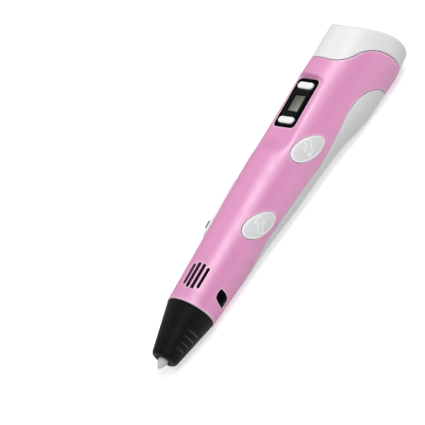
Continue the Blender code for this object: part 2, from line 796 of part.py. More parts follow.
def cone_radius(x):
    share = (x - CONE_FRONT_X) / (GRIP_X - CONE_FRONT_X)
    return CONE_FRONT_R + CONE_ROUND + (GRIP_R - CONE_STEP - CONE_FRONT_R - CONE_ROUND) * share


def nose_cone():
    base = GRIP_X - FIT
    spigot_r = GRIP_R - WALL - FIT
    end = GRIP_X + SPIGOT_LONG
    cavity = spigot_r - SPIGOT_WALL
    profile = (
        (spigot_r, end), (spigot_r, base), (GRIP_R - CONE_STEP, base),
        (cone_radius(CONE_FRONT_X + CONE_ROUND), CONE_FRONT_X + CONE_ROUND),
        (CONE_FRONT_R + CONE_ROUND * 0.6, CONE_FRONT_X + CONE_ROUND * 0.25),
        (CONE_FRONT_R, CONE_FRONT_X), (CONE_MOUTH_R, CONE_FRONT_X),
        (CONE_MOUTH_R, CONE_FRONT_X + CONE_MOUTH_LONG),
        (CONE_MOUTH_R + CONE_MOUTH_FLARE, NOZZLE_SHOULDER_X - FIT),
        (cavity, base), (cavity, end),
    )
    cone = turned("nose_cone", profile, "black_nose", steps=32)
    for i in range(GRIP_RIBS):
        x = GRIP_X - GRIP_RIB_START - i * GRIP_RIB_PITCH
        carve(cone, grip_rib("grip_rib_%d" % (i + 1), x), "UNION")


def grip_rib(name, x):
    """Short low ridge round the key side of the cone."""
    count = 8
    points = []
    for i in range(count + 1):
        angle = GRIP_RIB_ANGLE + GRIP_RIB_SPAN * (i / count - 0.5)
        radius = cone_radius(x) - GRIP_RIB_SINK
        points.append((x, -radius * math.sin(angle), radius * math.cos(angle)))
    curve = bpy.data.curves.new(name, "CURVE")
    curve.dimensions = "3D"
    curve.bevel_depth = GRIP_RIB_R
    curve.bevel_resolution = 1
    curve.use_fill_caps = True
    spline = curve.splines.new("POLY")
    spline.points.add(count)
    for spot, point in zip(spline.points, points):
        spot.co = (*point, 1.0)
    guide = bpy.data.objects.new(name, curve)
    mesh = bpy.data.meshes.new_from_object(guide)
    bpy.data.objects.remove(guide)
    shape = bmesh.new()
    shape.from_mesh(mesh)
    bmesh.ops.remove_doubles(shape, verts=shape.verts, dist=1e-7)
    bmesh.ops.recalc_face_normals(shape, faces=shape.faces)
    shape.to_mesh(mesh)
    shape.free()
    return add_tool(name, mesh)


# Display, keys, slider and lens

def display():
    top = DECK_Z + BEZEL_PROUD
    under = top - BEZEL_THICK
    middle = under + BEZEL_THICK / 2
    pill_u = BEZEL_SIZE[0] / 2 - PILL_EDGE
    pill = rounded_box(PILL_SIZE[1], PILL_SIZE[0], PILL_SIZE[1] / 2 * 0.999, 6)
    hole = rounded_box(PILL_SIZE[1] + 2 * FIT, PILL_SIZE[0] + 2 * FIT, PILL_SIZE[1] / 2, 6)
    outlines = [
        rounded_box(*BEZEL_SIZE, BEZEL_CORNER), rounded_box(*GLASS_WINDOW, GLASS_CORNER, 2),
        move_outline(hole, pill_u, 0.0), move_outline(hole, -pill_u, 0.0),
    ]
    bezel = flat_mesh("display_bezel", outlines, BEZEL_THICK, deck_frame(middle))
    add_part("display_bezel", bezel, "black_bezel")
    lap = 2 * GLASS_LAP
    pane = rounded_box(GLASS_WINDOW[0] + lap, GLASS_WINDOW[1] + lap, GLASS_CORNER, 2)
    pane_z = under - FIT - GLASS_THICK / 2
    glass = flat_mesh("display_glass", [pane], GLASS_THICK, deck_frame(pane_z))
    add_part("display_glass", glass, "display_glass")
    wide, long = PILL_SIZE[1] + 2 * (FIT + PILL_FLANGE), PILL_SIZE[0] + 2 * PILL_FLANGE
    flange = rounded_box(wide, long, PILL_SIZE[1] / 2, 4)
    for name, u in (("rear", pill_u), ("front", -pill_u)):
        foot = under - FIT - GLASS_THICK
        tall = top + PILL_PROUD - foot
        place = (BEZEL_X + u, 0.0, foot + tall / 2)
        key = add_part("display_button_" + name,
                       flat_mesh(name + "_pill", [pill], tall, Matrix.Identity(4)), "key_white")
        key.location = place
        rim_place = Matrix.Translation((BEZEL_X + u, 0.0, under - FIT - GLASS_THICK / 4))
        rim = add_tool(name + "_pill_flange",
                       flat_mesh(name + "_pill_flange", [flange], GLASS_THICK / 2, rim_place))
        carve(key, rim, "UNION")
        half = SWITCH_SIDE / 2
        low = (BEZEL_X + u - half, -half, BOARD_Z + BOARD_THICK + FIT)
        high = (BEZEL_X + u + half, half, foot - PILL_TRAVEL - FIT)
        add_part("display_switch_" + name, box_mesh("display_switch_" + name, low, high), "switch_black")


def side_key(name, place):
    """Oval key: its face follows the casing skin, a flange holds it in from behind."""
    x, z = place
    reach = KEY_SIZE[0]
    depth = WALL + FIT + KEY_FLANGE_THICK
    key = add_part(name, casing_mesh(name, -KEY_PROUD, x - reach, x + reach), "key_white")
    carve(key, add_tool(name + "_prism", key_prism(name + "_prism", place, 0.0)), "INTERSECT")
    flange = add_tool(name + "_flange", casing_mesh(name + "_flange", WALL + FIT, x - reach, x + reach))
    carve(flange, add_tool(name + "_rim", key_prism(name + "_rim", place, KEY_FLANGE)), "INTERSECT")
    carve(key, flange, "UNION")
    back = casing_mesh(name + "_back", depth, x - reach * 1.2, x + reach * 1.2)
    carve(key, add_tool(name + "_back", back))
    switch_face = KEY_BOARD_Y - BOARD_THICK - FIT - KEY_SWITCH_TALL
    stem_end = switch_face - KEY_TRAVEL - FIT
    skin_y = -section(x)[2] + depth
    if stem_end - skin_y > FIT:
        stem_z = switch_height(place)
        start, end = (x, skin_y - depth / 2, stem_z), (x, stem_end, stem_z)
        stem = rod_mesh(name + "_stem", KEY_STEM_R, start, end)
        carve(key, add_tool(name + "_stem", stem), "UNION")
    set_origin(key, (x, skin_y, z))


def switch_height(place):
    """Height of the switch behind a key, kept on its board."""
    return min(place[1], KEY_BOARD_Z[1] - SWITCH_SIDE / 2)


def key_switch(name, place):
    x, z = place[0], switch_height(place)
    face = KEY_BOARD_Y - BOARD_THICK - FIT
    half = SWITCH_SIDE / 2
    mesh = box_mesh(name, (x - half, face - KEY_SWITCH_TALL, z - half), (x + half, face, z + half))
    add_part(name, mesh, "switch_black")


def slider():
    frame = skin_frame(SLIDER_X, SLIDER_ANGLE)
    slot_long = SLIDER_BACK + SLIDER_AHEAD + KNOB_STEM[0] + 4 * FIT
    slot_u = SLIDER_REST + (SLIDER_AHEAD - SLIDER_BACK) / 2
    slot = rounded_box(slot_long, KNOB_STEM[1] + 4 * FIT, FIT, 2)
    outlines = [stadium(*SLIDER_PLATE), move_outline(slot, slot_u, 0.0)]
    plate_mid = frame @ Matrix.Translation((0, 0, SLIDER_PROUD - SLIDER_PLATE_THICK / 2))
    plate = flat_mesh("slider_plate", outlines, SLIDER_PLATE_THICK, plate_mid)
    add_part("slider_plate", plate, "white_casing")
    knob_foot = SLIDER_PROUD + FIT
    knob_frame = frame @ Matrix.Translation((SLIDER_REST, 0, knob_foot))
    knob_mid = Matrix.Translation((0, 0, KNOB_TALL / 2))
    outline = rounded_box(*KNOB_SIZE, KNOB_CORNER, 3)
    knob = add_part("speed_slider", flat_mesh("speed_slider", [outline], KNOB_TALL, knob_mid), "knob_grey")
    stem_foot = -(knob_foot - SLIDER_PROUD) - SLIDER_PLATE_THICK + FIT
    low = (-KNOB_STEM[0] / 2, -KNOB_STEM[1] / 2, stem_foot)
    high = (KNOB_STEM[0] / 2, KNOB_STEM[1] / 2, KNOB_TALL / 2)
    stem = add_tool("slider_stem", box_mesh("slider_stem", low, high))
    stem.matrix_local = knob_frame
    knob.matrix_local = knob_frame
    carve(knob, stem, "UNION")
    pot_top = SLIDER_PROUD - SLIDER_PLATE_THICK - FIT
    long, wide, deep = POT_SIZE
    low = (slot_u - long / 2, -wide / 2, pot_top - deep)
    high = (slot_u + long / 2, wide / 2, pot_top)
    add_part("slide_potentiometer", box_mesh("slide_potentiometer", low, high, frame), "switch_black")


def indicator():
    frame = skin_frame(LENS_X, LENS_ANGLE)
    reach = LENS_SIZE[0]
    lens_mesh = casing_mesh("indicator_lens", FIT / 2, LENS_X - reach, LENS_X + reach)
    lens = add_part("indicator_lens", lens_mesh, "dark_lens")
    eye = flat_mesh("lens_prism", [leaf(*LENS_SIZE, LENS_TILT)], 5 * WALL, frame)
    carve(lens, add_tool("lens_prism", eye), "INTERSECT")
    back = casing_mesh("lens_back", WALL, LENS_X - reach * 1.2, LENS_X + reach * 1.2)
    carve(lens, add_tool("lens_back", back))
    top = -WALL - 3 * FIT
    foot, head = frame @ Vector((0, 0, top - LED_LONG)), frame @ Vector((0, 0, top))
    led = rod_mesh("indicator_led", LED_R, foot, head)
    add_part("indicator_led", led, "guide_white")


# Hot end

def hot_end():
    seat = NOZZLE_END_X - NOZZLE_SOCKET
    socket = BARREL_R + FIT
    profile = (
        (NOZZLE_SHOULDER_R, NOZZLE_END_X), (NOZZLE_SHOULDER_R, NOZZLE_SHOULDER_X),
        (NOZZLE_R, NOZZLE_SHOULDER_X), (NOZZLE_R, NOZZLE_CONE), (NOZZLE_TIP_R, NOZZLE_TIP_X),
        (NOZZLE_BORE_R, NOZZLE_TIP_X), (NOZZLE_BORE_R, NOZZLE_TIP_X + NOZZLE_BORE_LONG),
        (BARREL_BORE_R, NOZZLE_TAPER_X),
        (BARREL_BORE_R, seat), (socket, seat), (socket, NOZZLE_END_X),
    )
    turned("nozzle", profile, "ceramic")
    barrel_end = FRAME_FRONT_X + FRAME_BLOCK - FIT
    sleeve("heat_barrel", BARREL_BORE_R, BARREL_R, seat + FIT, barrel_end, "steel")
    heater_r = BARREL_R + FIT + HEATER_WALL
    start = NOZZLE_END_X + FIT
    sleeve("heater_sleeve", BARREL_R + FIT, heater_r, start, start + HEATER_LONG, "brass")
    wrap = heater_r + FIT
    sleeve("insulation_sleeve", wrap, wrap + INSULATION_WALL, start + FIT, start + INSULATION_LONG, "mica")
    bead_x = start + INSULATION_LONG + FIT
    bead_z = BARREL_R + FIT + THERMISTOR_R
    add_part("thermistor", rod_mesh("thermistor", THERMISTOR_R, (bead_x, 0, bead_z),
                                    (bead_x + THERMISTOR_LONG, 0, bead_z), 12), "mica")


def sleeve(name, bore, radius, start, end, material, place=(0.0, 0.0, 0.0)):
    turned(name, ((radius, end), (radius, start), (bore, start), (bore, end)), material, place)


# Feed drive

def drive_sizes():
    """Heights of the feed shaft, worm and idler, and the wheel's pitch radius."""
    wheel_r = WHEEL_TEETH * WORM_PITCH / (2.0 * math.pi)
    shaft_z = -(FILAMENT_R + FEED_R)
    worm_pitch_r = WORM_R - WHEEL_ADDENDUM
    worm_z = shaft_z - wheel_r - worm_pitch_r - MESH_SLACK
    idler_z = BARREL_BORE_R + IDLER_R
    return wheel_r, shaft_z, worm_z, idler_z


def toothed_outline(teeth, root, tip, root_share, tip_share):
    """Outline of a toothed wheel with a gap at its lowest point."""
    points = []
    step = 2.0 * math.pi / teeth
    for k in range(teeth):
        middle = -math.pi / 2 + (k + 0.5) * step
        for radius, lean in ((root, -root_share), (tip, -tip_share), (tip, tip_share), (root, root_share)):
            angle = middle + lean * step / 2
            points.append((radius * math.cos(angle), radius * math.sin(angle)))
    return points


def wheel_on_shaft(name, outline, width, y, z, material):
    mesh = flat_mesh(name, [outline, circle(SHAFT_R + FIT)], width, SIDE)
    part = add_part(name, mesh, material)
    part.location = (DRIVE_X, y, z)


def worm_mesh(name, back, front):
    """Screw thread on a round core, one closed skin wound from helical rows."""
    turns = int(WORM_LONG / WORM_PITCH) + 3
    low, high = DRIVE_X - WORM_LONG / 2, DRIVE_X + WORM_LONG / 2
    crest, root = THREAD_CREST / 2, THREAD_ROOT / 2
    thread = ((-root, WORM_ROOT_R), (-crest, WORM_R), (crest, WORM_R), (root, WORM_ROOT_R))
    shape = bmesh.new()
    columns = []
    for i in range(SMALL_STEPS):
        angle = 2.0 * math.pi * i / SMALL_STEPS
        lead = WORM_PITCH * (i / SMALL_STEPS - 0.25)
        rows = [(front, WORM_ROOT_R), (low, WORM_ROOT_R)]
        for k in range(-turns, turns + 1):
            for shift, radius in thread:
                x = DRIVE_X + lead + k * WORM_PITCH + shift
                held = min(max(x, low), high)
                rows.append((held, radius if held == x else WORM_ROOT_R))
        rows += [(high, WORM_ROOT_R), (back, WORM_ROOT_R)]
        columns.append([shape.verts.new((x, r * math.cos(angle), r * math.sin(angle))) for x, r in rows])
    count = len(columns[0])
    per_turn = len(thread)
    for i, near in enumerate(columns):
        far = columns[(i + 1) % SMALL_STEPS]
        wrap = per_turn if i == SMALL_STEPS - 1 else 0
        for k in range(count - 1):
            far_k = k if k < 1 or k >= count - 2 else min(max(k + wrap, 1), count - 2)
            far_n = k + 1 if k + 1 < 1 or k + 1 > count - 2 else min(max(k + 1 + wrap, 1), count - 2)
            corners = [near[k], near[k + 1], far[far_n], far[far_k]]
            unique = []
            for corner in corners:
                if corner not in unique:
                    unique.append(corner)
            if len(unique) > 2:
                shape.faces.new(unique)
    bmesh.ops.remove_doubles(shape, verts=shape.verts, dist=1e-7)
    bmesh.ops.dissolve_degenerate(shape, edges=shape.edges, dist=1e-8)
    edges = [edge for edge in shape.edges if edge.is_boundary]
    bmesh.ops.holes_fill(shape, edges=edges)
    bmesh.ops.recalc_face_normals(shape, faces=shape.faces)
    mesh = bpy.data.meshes.new(name)
    shape.to_mesh(mesh)
    shape.free()
    return mesh


def feed_drive():
    wheel_r, shaft_z, worm_z, idler_z = drive_sizes()
    tip = wheel_r + WHEEL_ADDENDUM
    root = wheel_r - WHEEL_DEDENDUM
    wheel = toothed_outline(WHEEL_TEETH, root, tip, *WHEEL_FLANKS)
    wheel_on_shaft("worm_wheel", wheel, WHEEL_WIDTH, WHEEL_Y, shaft_z, "guide_white")
    gear = toothed_outline(FEED_TEETH, FEED_R - FEED_TOOTH, FEED_R, *FEED_FLANKS)
    wheel_on_shaft("feed_gear", gear, FEED_WIDTH, 0.0, shaft_z, "brass")
    axle("feed_shaft", shaft_z, "steel")
    axle("idler_pin", idler_z, "steel")
    roller = ((IDLER_R, IDLER_WIDTH / 2), (IDLER_R, -IDLER_WIDTH / 2),
              (SHAFT_R + FIT, -IDLER_WIDTH / 2), (SHAFT_R + FIT, IDLER_WIDTH / 2))
    turned("idler_roller", roller, "steel", (DRIVE_X, 0.0, idler_z), "Y")
    front = FRAME_FRONT_X + FRAME_BLOCK + FIT
    plate = motor_plate_x()
    gearbox_x = plate + MOTOR_PLATE + FIT
    worm = add_part("worm", worm_mesh("worm", gearbox_x + SHAFT_ENGAGE, front), "steel")
    worm.location = (0.0, WHEEL_Y, worm_z)
    set_origin_x(worm, DRIVE_X)
    place = (0.0, WHEEL_Y, worm_z)
    bore = WORM_ROOT_R + FIT
    gearbox_end = gearbox_x + GEARBOX_LONG
    hole = gearbox_x + SHAFT_ENGAGE + FIT
    turned("gearbox", ((0.0, gearbox_end), (MOTOR_R, gearbox_end), (MOTOR_R, gearbox_x), (bore, gearbox_x),
                       (bore, hole), (0.0, hole)), "aluminium", place, closed=False)
    start = gearbox_end + FIT
    end = start + MOTOR_LONG
    boss = end + MOTOR_BOSS_LONG
    turned("motor_can", ((0.0, boss), (MOTOR_BOSS_R, boss), (MOTOR_BOSS_R, end), (MOTOR_R, end),
                         (MOTOR_R, start), (0.0, start)), "steel", place, closed=False)


def set_origin_x(part, x):
    part.data.transform(Matrix.Translation((-x, 0.0, 0.0)))
    part.location.x = x


def motor_plate_x():
    return DRIVE_X + WORM_LONG / 2 + FIT


def axle(name, z, material):
    start, end = FRAME_RIGHT_Y + FIT, FRAME_LEFT_Y - FIT
    profile = ((0.0, end), (SHAFT_R, end), (SHAFT_R, start), (0.0, start))
    turned(name, profile, material, (DRIVE_X, 0.0, z), "Y", closed=False, steps=SMALL_STEPS)


def drive_frame():
    _, shaft_z, worm_z, idler_z = drive_sizes()
    low = (FRAME_FRONT_X, FRAME_RIGHT_Y, FRAME_SIDE_Z)
    frame = add_part("drive_frame", box_mesh("drive_frame", low, (FRAME_REAR_X, FRAME_LEFT_Y, FRAME_TOP_Z)),
                     "frame_nylon")
    inner_low = (FRAME_FRONT_X + FRAME_BLOCK, FRAME_RIGHT_Y + FRAME_PLATE, 2 * FRAME_SIDE_Z)
    inner_high = (FRAME_REAR_X - FRAME_TAIL, FRAME_LEFT_Y - FRAME_PLATE, 2 * FRAME_TOP_Z)
    carve(frame, add_tool("frame_well", box_mesh("frame_well", inner_low, inner_high)))
    for name, start, end in (("front", FRAME_FRONT_X - FIT, FRAME_FRONT_X + FRAME_BLOCK),
                             ("rear", FRAME_REAR_X - FRAME_TAIL, FRAME_REAR_X + FIT)):
        under = box_mesh("frame_sill_" + name, (start, 2 * FRAME_RIGHT_Y, 2 * FRAME_SIDE_Z),
                         (end, 2 * FRAME_LEFT_Y, FRAME_SILL_Z))
        carve(frame, add_tool("frame_sill_" + name, under))
    plate_x = motor_plate_x()
    foot = worm_z - WORM_ROOT_R - FIT - FRAME_PLATE
    plate = box_mesh("motor_plate", (plate_x, WHEEL_Y - MOTOR_R, foot),
                     (plate_x + MOTOR_PLATE, FRAME_LEFT_Y - FIT, FRAME_SILL_Z + FRAME_PLATE))
    carve(frame, add_tool("motor_plate", plate), "UNION")
    right, left = 2 * FRAME_RIGHT_Y, 2 * FRAME_LEFT_Y
    block_end, tail = FRAME_FRONT_X + FRAME_BLOCK, FRAME_REAR_X - FRAME_TAIL
    bores = [
        ("barrel_bore", BARREL_R, (FRAME_FRONT_X - FIT, 0, 0), (block_end + FIT, 0, 0)),
        ("guide_bore", GUIDE_R, (tail - FIT, 0, 0), (FRAME_REAR_X + FIT, 0, 0)),
        ("shaft_bore", SHAFT_R, (DRIVE_X, right, shaft_z), (DRIVE_X, left, shaft_z)),
        ("idler_bore", SHAFT_R, (DRIVE_X, right, idler_z), (DRIVE_X, left, idler_z)),
        ("worm_bore", WORM_ROOT_R, (plate_x - FIT, WHEEL_Y, worm_z),
         (plate_x + MOTOR_PLATE + FIT, WHEEL_Y, worm_z)),
    ]
    for i, x in enumerate(DRIVE_SCREW_X):
        bores.append(("drive_screw_%d_bore" % (i + 1), SCREW_R, (x, DRIVE_SCREW_Y, 2 * FRAME_SILL_Z),
                      (x, DRIVE_SCREW_Y, 2 * FRAME_TOP_Z)))
    for name, radius, start, end in bores:
        carve(frame, add_tool(name, rod_mesh(name, radius + FIT, start, end)))


# Rear end, boards, fasteners and leads

def rear_end():
    sleeve("filament_guide", GUIDE_BORE_R, GUIDE_R, FRAME_REAR_X - FRAME_TAIL / 2,
           INLET_FACE_X - INLET_LONG - FIT, "guide_white")
    start = INLET_FACE_X - INLET_LONG
    sleeve("filament_inlet", INLET_BORE_R, INLET_R, start, INLET_FACE_X, "brass")
    face = REAR_X - JACK_SINK - rear_crown(JACK_Z)
    back = face - JACK_LONG
    floor = face - JACK_DEPTH
    tip = face - JACK_PIN_SINK
    profile = ((0.0, tip), (JACK_PIN_R, tip), (JACK_PIN_R, floor), (JACK_BORE_R, floor), (JACK_BORE_R, face),
               (JACK_R, face), (JACK_R, back), (0.0, back))
    turned("dc_jack", profile, "switch_black", (0.0, 0.0, JACK_Z), closed=False)


def boards():
    holes = [move_outline(circle(SCREW_R + FIT), x, y) for x, y in BOARD_SCREWS]
    outline = (
        (BOARD_FRONT_X, -BOARD_RIGHT), (BOARD_TONGUE_X, -BOARD_RIGHT), (BOARD_TONGUE_X, BOARD_TONGUE_Y),
        (BOARD_REAR_X, BOARD_TONGUE_Y), (BOARD_REAR_X, BOARD_LEFT), (BOARD_FRONT_X, BOARD_LEFT),
    )
    frame = Matrix.Translation((0.0, 0.0, BOARD_Z + BOARD_THICK / 2))
    mesh = flat_mesh("main_board", [outline] + holes, BOARD_THICK, frame)
    add_part("main_board", mesh, "board_green")
    low = (KEY_BOARD_X[0], KEY_BOARD_Y - BOARD_THICK, KEY_BOARD_Z[0])
    high = (KEY_BOARD_X[1], KEY_BOARD_Y, KEY_BOARD_Z[1])
    add_part("key_board", box_mesh("key_board", low, high), "board_green")
    key_switch("feed_switch", FEED_KEY)
    key_switch("retract_switch", RETRACT_KEY)


def screws():
    up = (0.0, 0.0, 1.0)
    for i, x in enumerate(DRIVE_SCREW_X):
        seat = FRAME_SILL_Z - FIT
        end = skin_height(x, DRIVE_SCREW_Y) - WALL - FIT
        screw("drive_screw_%d" % (i + 1), (x, DRIVE_SCREW_Y, seat), up, end - seat)
    for i, (x, y) in enumerate(BOARD_SCREWS):
        seat = BOARD_Z - FIT
        end = skin_height(x, y) - WALL - FIT
        screw("board_screw_%d" % (i + 1), (x, y, seat), up, end - seat)
    for i, (x, y, foot) in enumerate(COVER_SCREWS):
        seat = head_seat(x, y) - 2 * FIT
        screw("cover_screw_%d" % (i + 1), (x, y, seat), up, foot - seat + COVER_SCREW_HOLD)


def leads():
    board = BOARD_Z - FIT
    _, _, worm_z, _ = drive_sizes()
    back = motor_plate_x() + MOTOR_PLATE + GEARBOX_LONG + MOTOR_LONG + 3 * FIT
    jack = REAR_X - JACK_SINK - rear_crown(JACK_Z) - JACK_LONG - FIT
    for i, colour in enumerate(("red", "black")):
        material = "lead_" + colour
        side = 1 - 2 * i
        tag = WHEEL_Y + side * MOTOR_TAG
        x, y = MOTOR_LEAD_X[i], MOTOR_LEAD_Y + side * MOTOR_TAG / 3
        route = ((back, tag, worm_z), (back + MOTOR_TAG, tag, worm_z), (x, y, MOTOR_LEAD_Z), (x, y, board))
        tube("motor_lead_" + colour, route, LEAD_R, material)
        y = -side * JACK_LEAD_Y
        route = [(jack, y * 0.6, JACK_Z), (jack - JACK_R, y * 0.8, JACK_Z + LEAD_R)]
        route += [(x, y, z) for x, z in JACK_LEAD_ROUTE]
        tube("jack_lead_" + colour, route + [(JACK_LEAD_END_X, y, board)], LEAD_R, material)
        y = HEATER_LEAD_Y[i]
        route = [(x, y + bend, z + HEATER_LEAD_DROP[i]) for x, bend, z in HEATER_LEAD_ROUTE]
        tube("heater_lead_" + colour, route, LEAD_R, material)


def lay_on_belly():
    """Turn the pen onto its belly and centre its footprint on the origin."""
    PEN.rotation_euler = (0.0, -lie_angle(), 0.0)
    bpy.context.view_layer.update()
    graph = bpy.context.evaluated_depsgraph_get()
    corners = []
    for part in PARTS.objects:
        if part.type != "EMPTY":
            live = part.evaluated_get(graph)
            mesh = live.to_mesh()
            corners += [live.matrix_world @ vert.co for vert in mesh.vertices]
            live.to_mesh_clear()
    low = [min(corner[i] for corner in corners) for i in range(3)]
    high = [max(corner[i] for corner in corners) for i in range(3)]
    PEN.location = (-(low[0] + high[0]) / 2, -(low[1] + high[1]) / 2, -low[2])
    bpy.context.view_layer.update()


def main():
    make_finishes()
    body_shell()
    belly_cover()
    end_cap()
    nose_cone()
    hot_end()
    display()
    side_key("feed_button", FEED_KEY)
    side_key("retract_button", RETRACT_KEY)
    slider()
    indicator()
    drive_frame()
    feed_drive()
    rear_end()
    boards()
    screws()
    leads()
    lay_on_belly()


main()
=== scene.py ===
"""Looks of a pen that feeds and melts plastic filament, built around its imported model.

Pieces are drawn in the pen's own frame: x runs from the nozzle to the rear end, z points
to the display and the two large keys face -y. PEN turns and moves them onto the model.
"""

import json
from math import acos, asin, atan2, ceil, copysign, cos, dist, hypot, pi, radians, sin, sqrt, tan

import bmesh
import bpy
import numpy as np
from bpy.props import FloatProperty, FloatVectorProperty, IntProperty, PointerProperty
from mathutils import Matrix, Vector
from mathutils.geometry import delaunay_2d_cdt
from mathutils.kdtree import KDTree


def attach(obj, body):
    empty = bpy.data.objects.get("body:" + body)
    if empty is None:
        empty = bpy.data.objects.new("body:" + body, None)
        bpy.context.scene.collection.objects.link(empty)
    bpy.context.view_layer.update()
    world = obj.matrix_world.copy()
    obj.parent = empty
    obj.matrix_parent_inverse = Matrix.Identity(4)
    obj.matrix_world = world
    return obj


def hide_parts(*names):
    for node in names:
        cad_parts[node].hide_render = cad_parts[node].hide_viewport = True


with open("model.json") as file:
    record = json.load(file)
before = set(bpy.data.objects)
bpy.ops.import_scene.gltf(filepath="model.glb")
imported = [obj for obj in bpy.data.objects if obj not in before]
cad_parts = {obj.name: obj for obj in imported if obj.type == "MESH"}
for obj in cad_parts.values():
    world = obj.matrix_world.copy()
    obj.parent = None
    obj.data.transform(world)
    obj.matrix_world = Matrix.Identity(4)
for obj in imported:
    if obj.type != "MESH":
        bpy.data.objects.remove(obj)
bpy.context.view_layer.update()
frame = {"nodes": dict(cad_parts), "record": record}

bl_info = {
    "name": "Filament pen looks",
    "version": (1, 0, 0),
    "blender": (4, 5, 0),
    "location": "View3D > Sidebar > Pen",
    "description": "Builds the visible pieces, finishes and stage of a filament pen",
    "category": "Object",
}

# The pen's own frame in the model's frame
LIE = asin(0.139381)
PEN = Matrix.Translation((-0.0932665, 0.0, 0.0069881)) @ Matrix.Rotation(-LIE, 4, "Y")

# Casing
REAR_X = 0.1839
GRIP_X = 0.0305
GRIP_R = 0.01135
FIT = 0.0003
WALL = 0.0018
COVER_WALL = 0.0024
CAP_WALL = 0.0026

# Sections of the casing: place along the pen, reach above, below and beside the filament axis
CASING = (
    (GRIP_X, GRIP_R, GRIP_R, GRIP_R),
    (0.0530, 0.01125, 0.01385, 0.0120),
    (0.0770, 0.0111, 0.0164, 0.0128),
    (0.0950, 0.0111, 0.0193, 0.0134),
    (0.1130, 0.01045, 0.0214, 0.0140),
    (0.1310, 0.0095, 0.0241, 0.0146),
    (0.1470, 0.0092, 0.0287, 0.0150),
    (0.1600, 0.0082, 0.0298, 0.0154),
    (0.1720, 0.0081, 0.0309, 0.0155),
    (REAR_X, 0.0079, 0.0300, 0.0152),
)

# Seams as seen from the side of the keys: place along the pen and height
BELLY_SEAM = (
    (0.0536, -0.0152), (0.0570, -0.0115), (0.0720, -0.0082), (0.0900, -0.0092),
    (0.1080, -0.0110), (0.1180, -0.0119), (0.1320, -0.0106), (0.1430, -0.0093),
    (0.1530, -0.0114), (0.1600, -0.0179), (0.1630, -0.0267), (0.1642, -0.0340),
)
CAP_SEAM = (
    (0.1576, 0.0140), (0.1583, 0.0071), (0.1607, 0.0037), (0.1641, 0.0012), (0.1682, -0.0012),
    (0.1716, -0.0050), (0.1736, -0.0091), (0.1750, -0.0157), (0.1752, -0.0220), (0.1748, -0.0380),
)
REAR_FLAT_Z = -0.019
REAR_CROWN = 0.040
REAR_BLEND_X = 0.1500
EDGE_ROUND = 0.0012
CAP_FACE_R = 0.0150
CAP_BEND = radians(88.0)
CAP_BEND_R = CAP_FACE_R + EDGE_ROUND * CAP_BEND
DECK_Z = 0.0065
DECK_X = (0.1060, 0.1190, 0.1478, 0.1494)
DECK_SOFT = 0.0014
FLAT_SOFT = 0.0002
FRONT_LIP = 0.00050

# Display
BEZEL_X = 0.1351
BEZEL_SIZE = (0.0243, 0.0133)
BEZEL_CORNER = 0.0018
BEZEL_TOP = DECK_Z + 0.00015
BEZEL_LIP = 0.0002
BEZEL_WALL = 0.0010
GLASS_WINDOW = (0.0084, 0.0072)
WINDOW_CORNER = 0.0007
PANEL_SIZE = (0.0136, 0.0098)
PANEL_CORNER = 0.0006
PANEL_GAP = 0.0001
PANEL_WINDOW_CORNER = 0.0005
PANEL_PROUD = 0.00004
PANEL_WALL = 0.0002
PANE_GAP = 0.0003
PANE_CORNER = 0.0004
PANE_DROP = 0.00035
PANE_LIP = 0.0001
PANE_WALL = 0.0019
PILL_SIZE = (0.0033, 0.0097)
PILL_OFFSET = BEZEL_SIZE[0] / 2 - 0.0032
PILL_PROUD = 0.00055
PILL_LIP = 0.00045
PILL_CORNER = PILL_SIZE[0] / 2 - 0.00047
PILL_HOLE_CORNER = PILL_SIZE[0] / 2 + FIT
PILL_WALL = 0.0020
PILL_STEPS = 10

# Oval keys and their arrows, drawn from the tip round to the other shoulder
KEY_SIZE = (0.0177, 0.0092)
KEY_TILT = radians(-26.5)
FEED_KEY = (0.1176, -0.0011)
RETRACT_KEY = (0.0767, 0.0005)
KEY_PROUD = 0.0008
KEY_GAP = 0.00016
KEY_LIP = 0.00028
KEY_WALL = 0.0026
KEY_RIM = 0.00070
KEY_DISH = 0.00016
KEY_SLOPE = 0.00025
KEY_CROWN = 0.00012
KEY_CROWN_REACH = 0.0040
# Depths inside a key's outline over which its painted rim highlight fades out
KEY_RIM_HIGHLIGHT = (KEY_RIM + 0.00002, KEY_RIM + 0.00022)
KEY_COUNT = 140
KEY_RINGS = 34
KEY_RING_STEP = 0.00014
KEY_CLEAR = 0.0001
ARROW_LEAN = radians(34)
ARROW_LINE = 0.00062
ARROW_LIP = 0.00006
ARROW_STEP = 0.0004
ARROW_SUNK = 0.0003
ARROW = (
    (0.0042, 0.0), (0.0004, 0.0029), (0.0004, 0.0015), (-0.0038, 0.0015),
    (-0.0038, -0.0015), (0.0004, -0.0015), (0.0004, -0.0029),
)

# Speed slider
SLIDER_X = 0.0788
SLIDER_ANGLE = radians(-55)
SLIDER_PLATE = (0.0305, 0.0080)
SLIDER_PROUD = 0.0005
SLIDER_LIP = 0.0004
SLIDER_WALL = 0.0026
SLIDER_REST = -0.0088
SLOT_MIDDLE = -0.0058
SLOT_SIZE = (0.0138, 0.0026)
SLOT_CORNER = 0.0003
KNOB_SIZE = (0.0042, 0.0036)
KNOB_CORNER = 0.0006
KNOB_LIP = 0.0003
KNOB_TALL = 0.0010
KNOB_TOP = SLIDER_PROUD + FIT + KNOB_TALL
RIDGE_COUNT = 4
RIDGE_PITCH = 0.0009
RIDGE_START = -(RIDGE_COUNT - 1) / 2 * RIDGE_PITCH
RIDGE_R = 0.00024
RIDGE_LENGTH = 0.0028

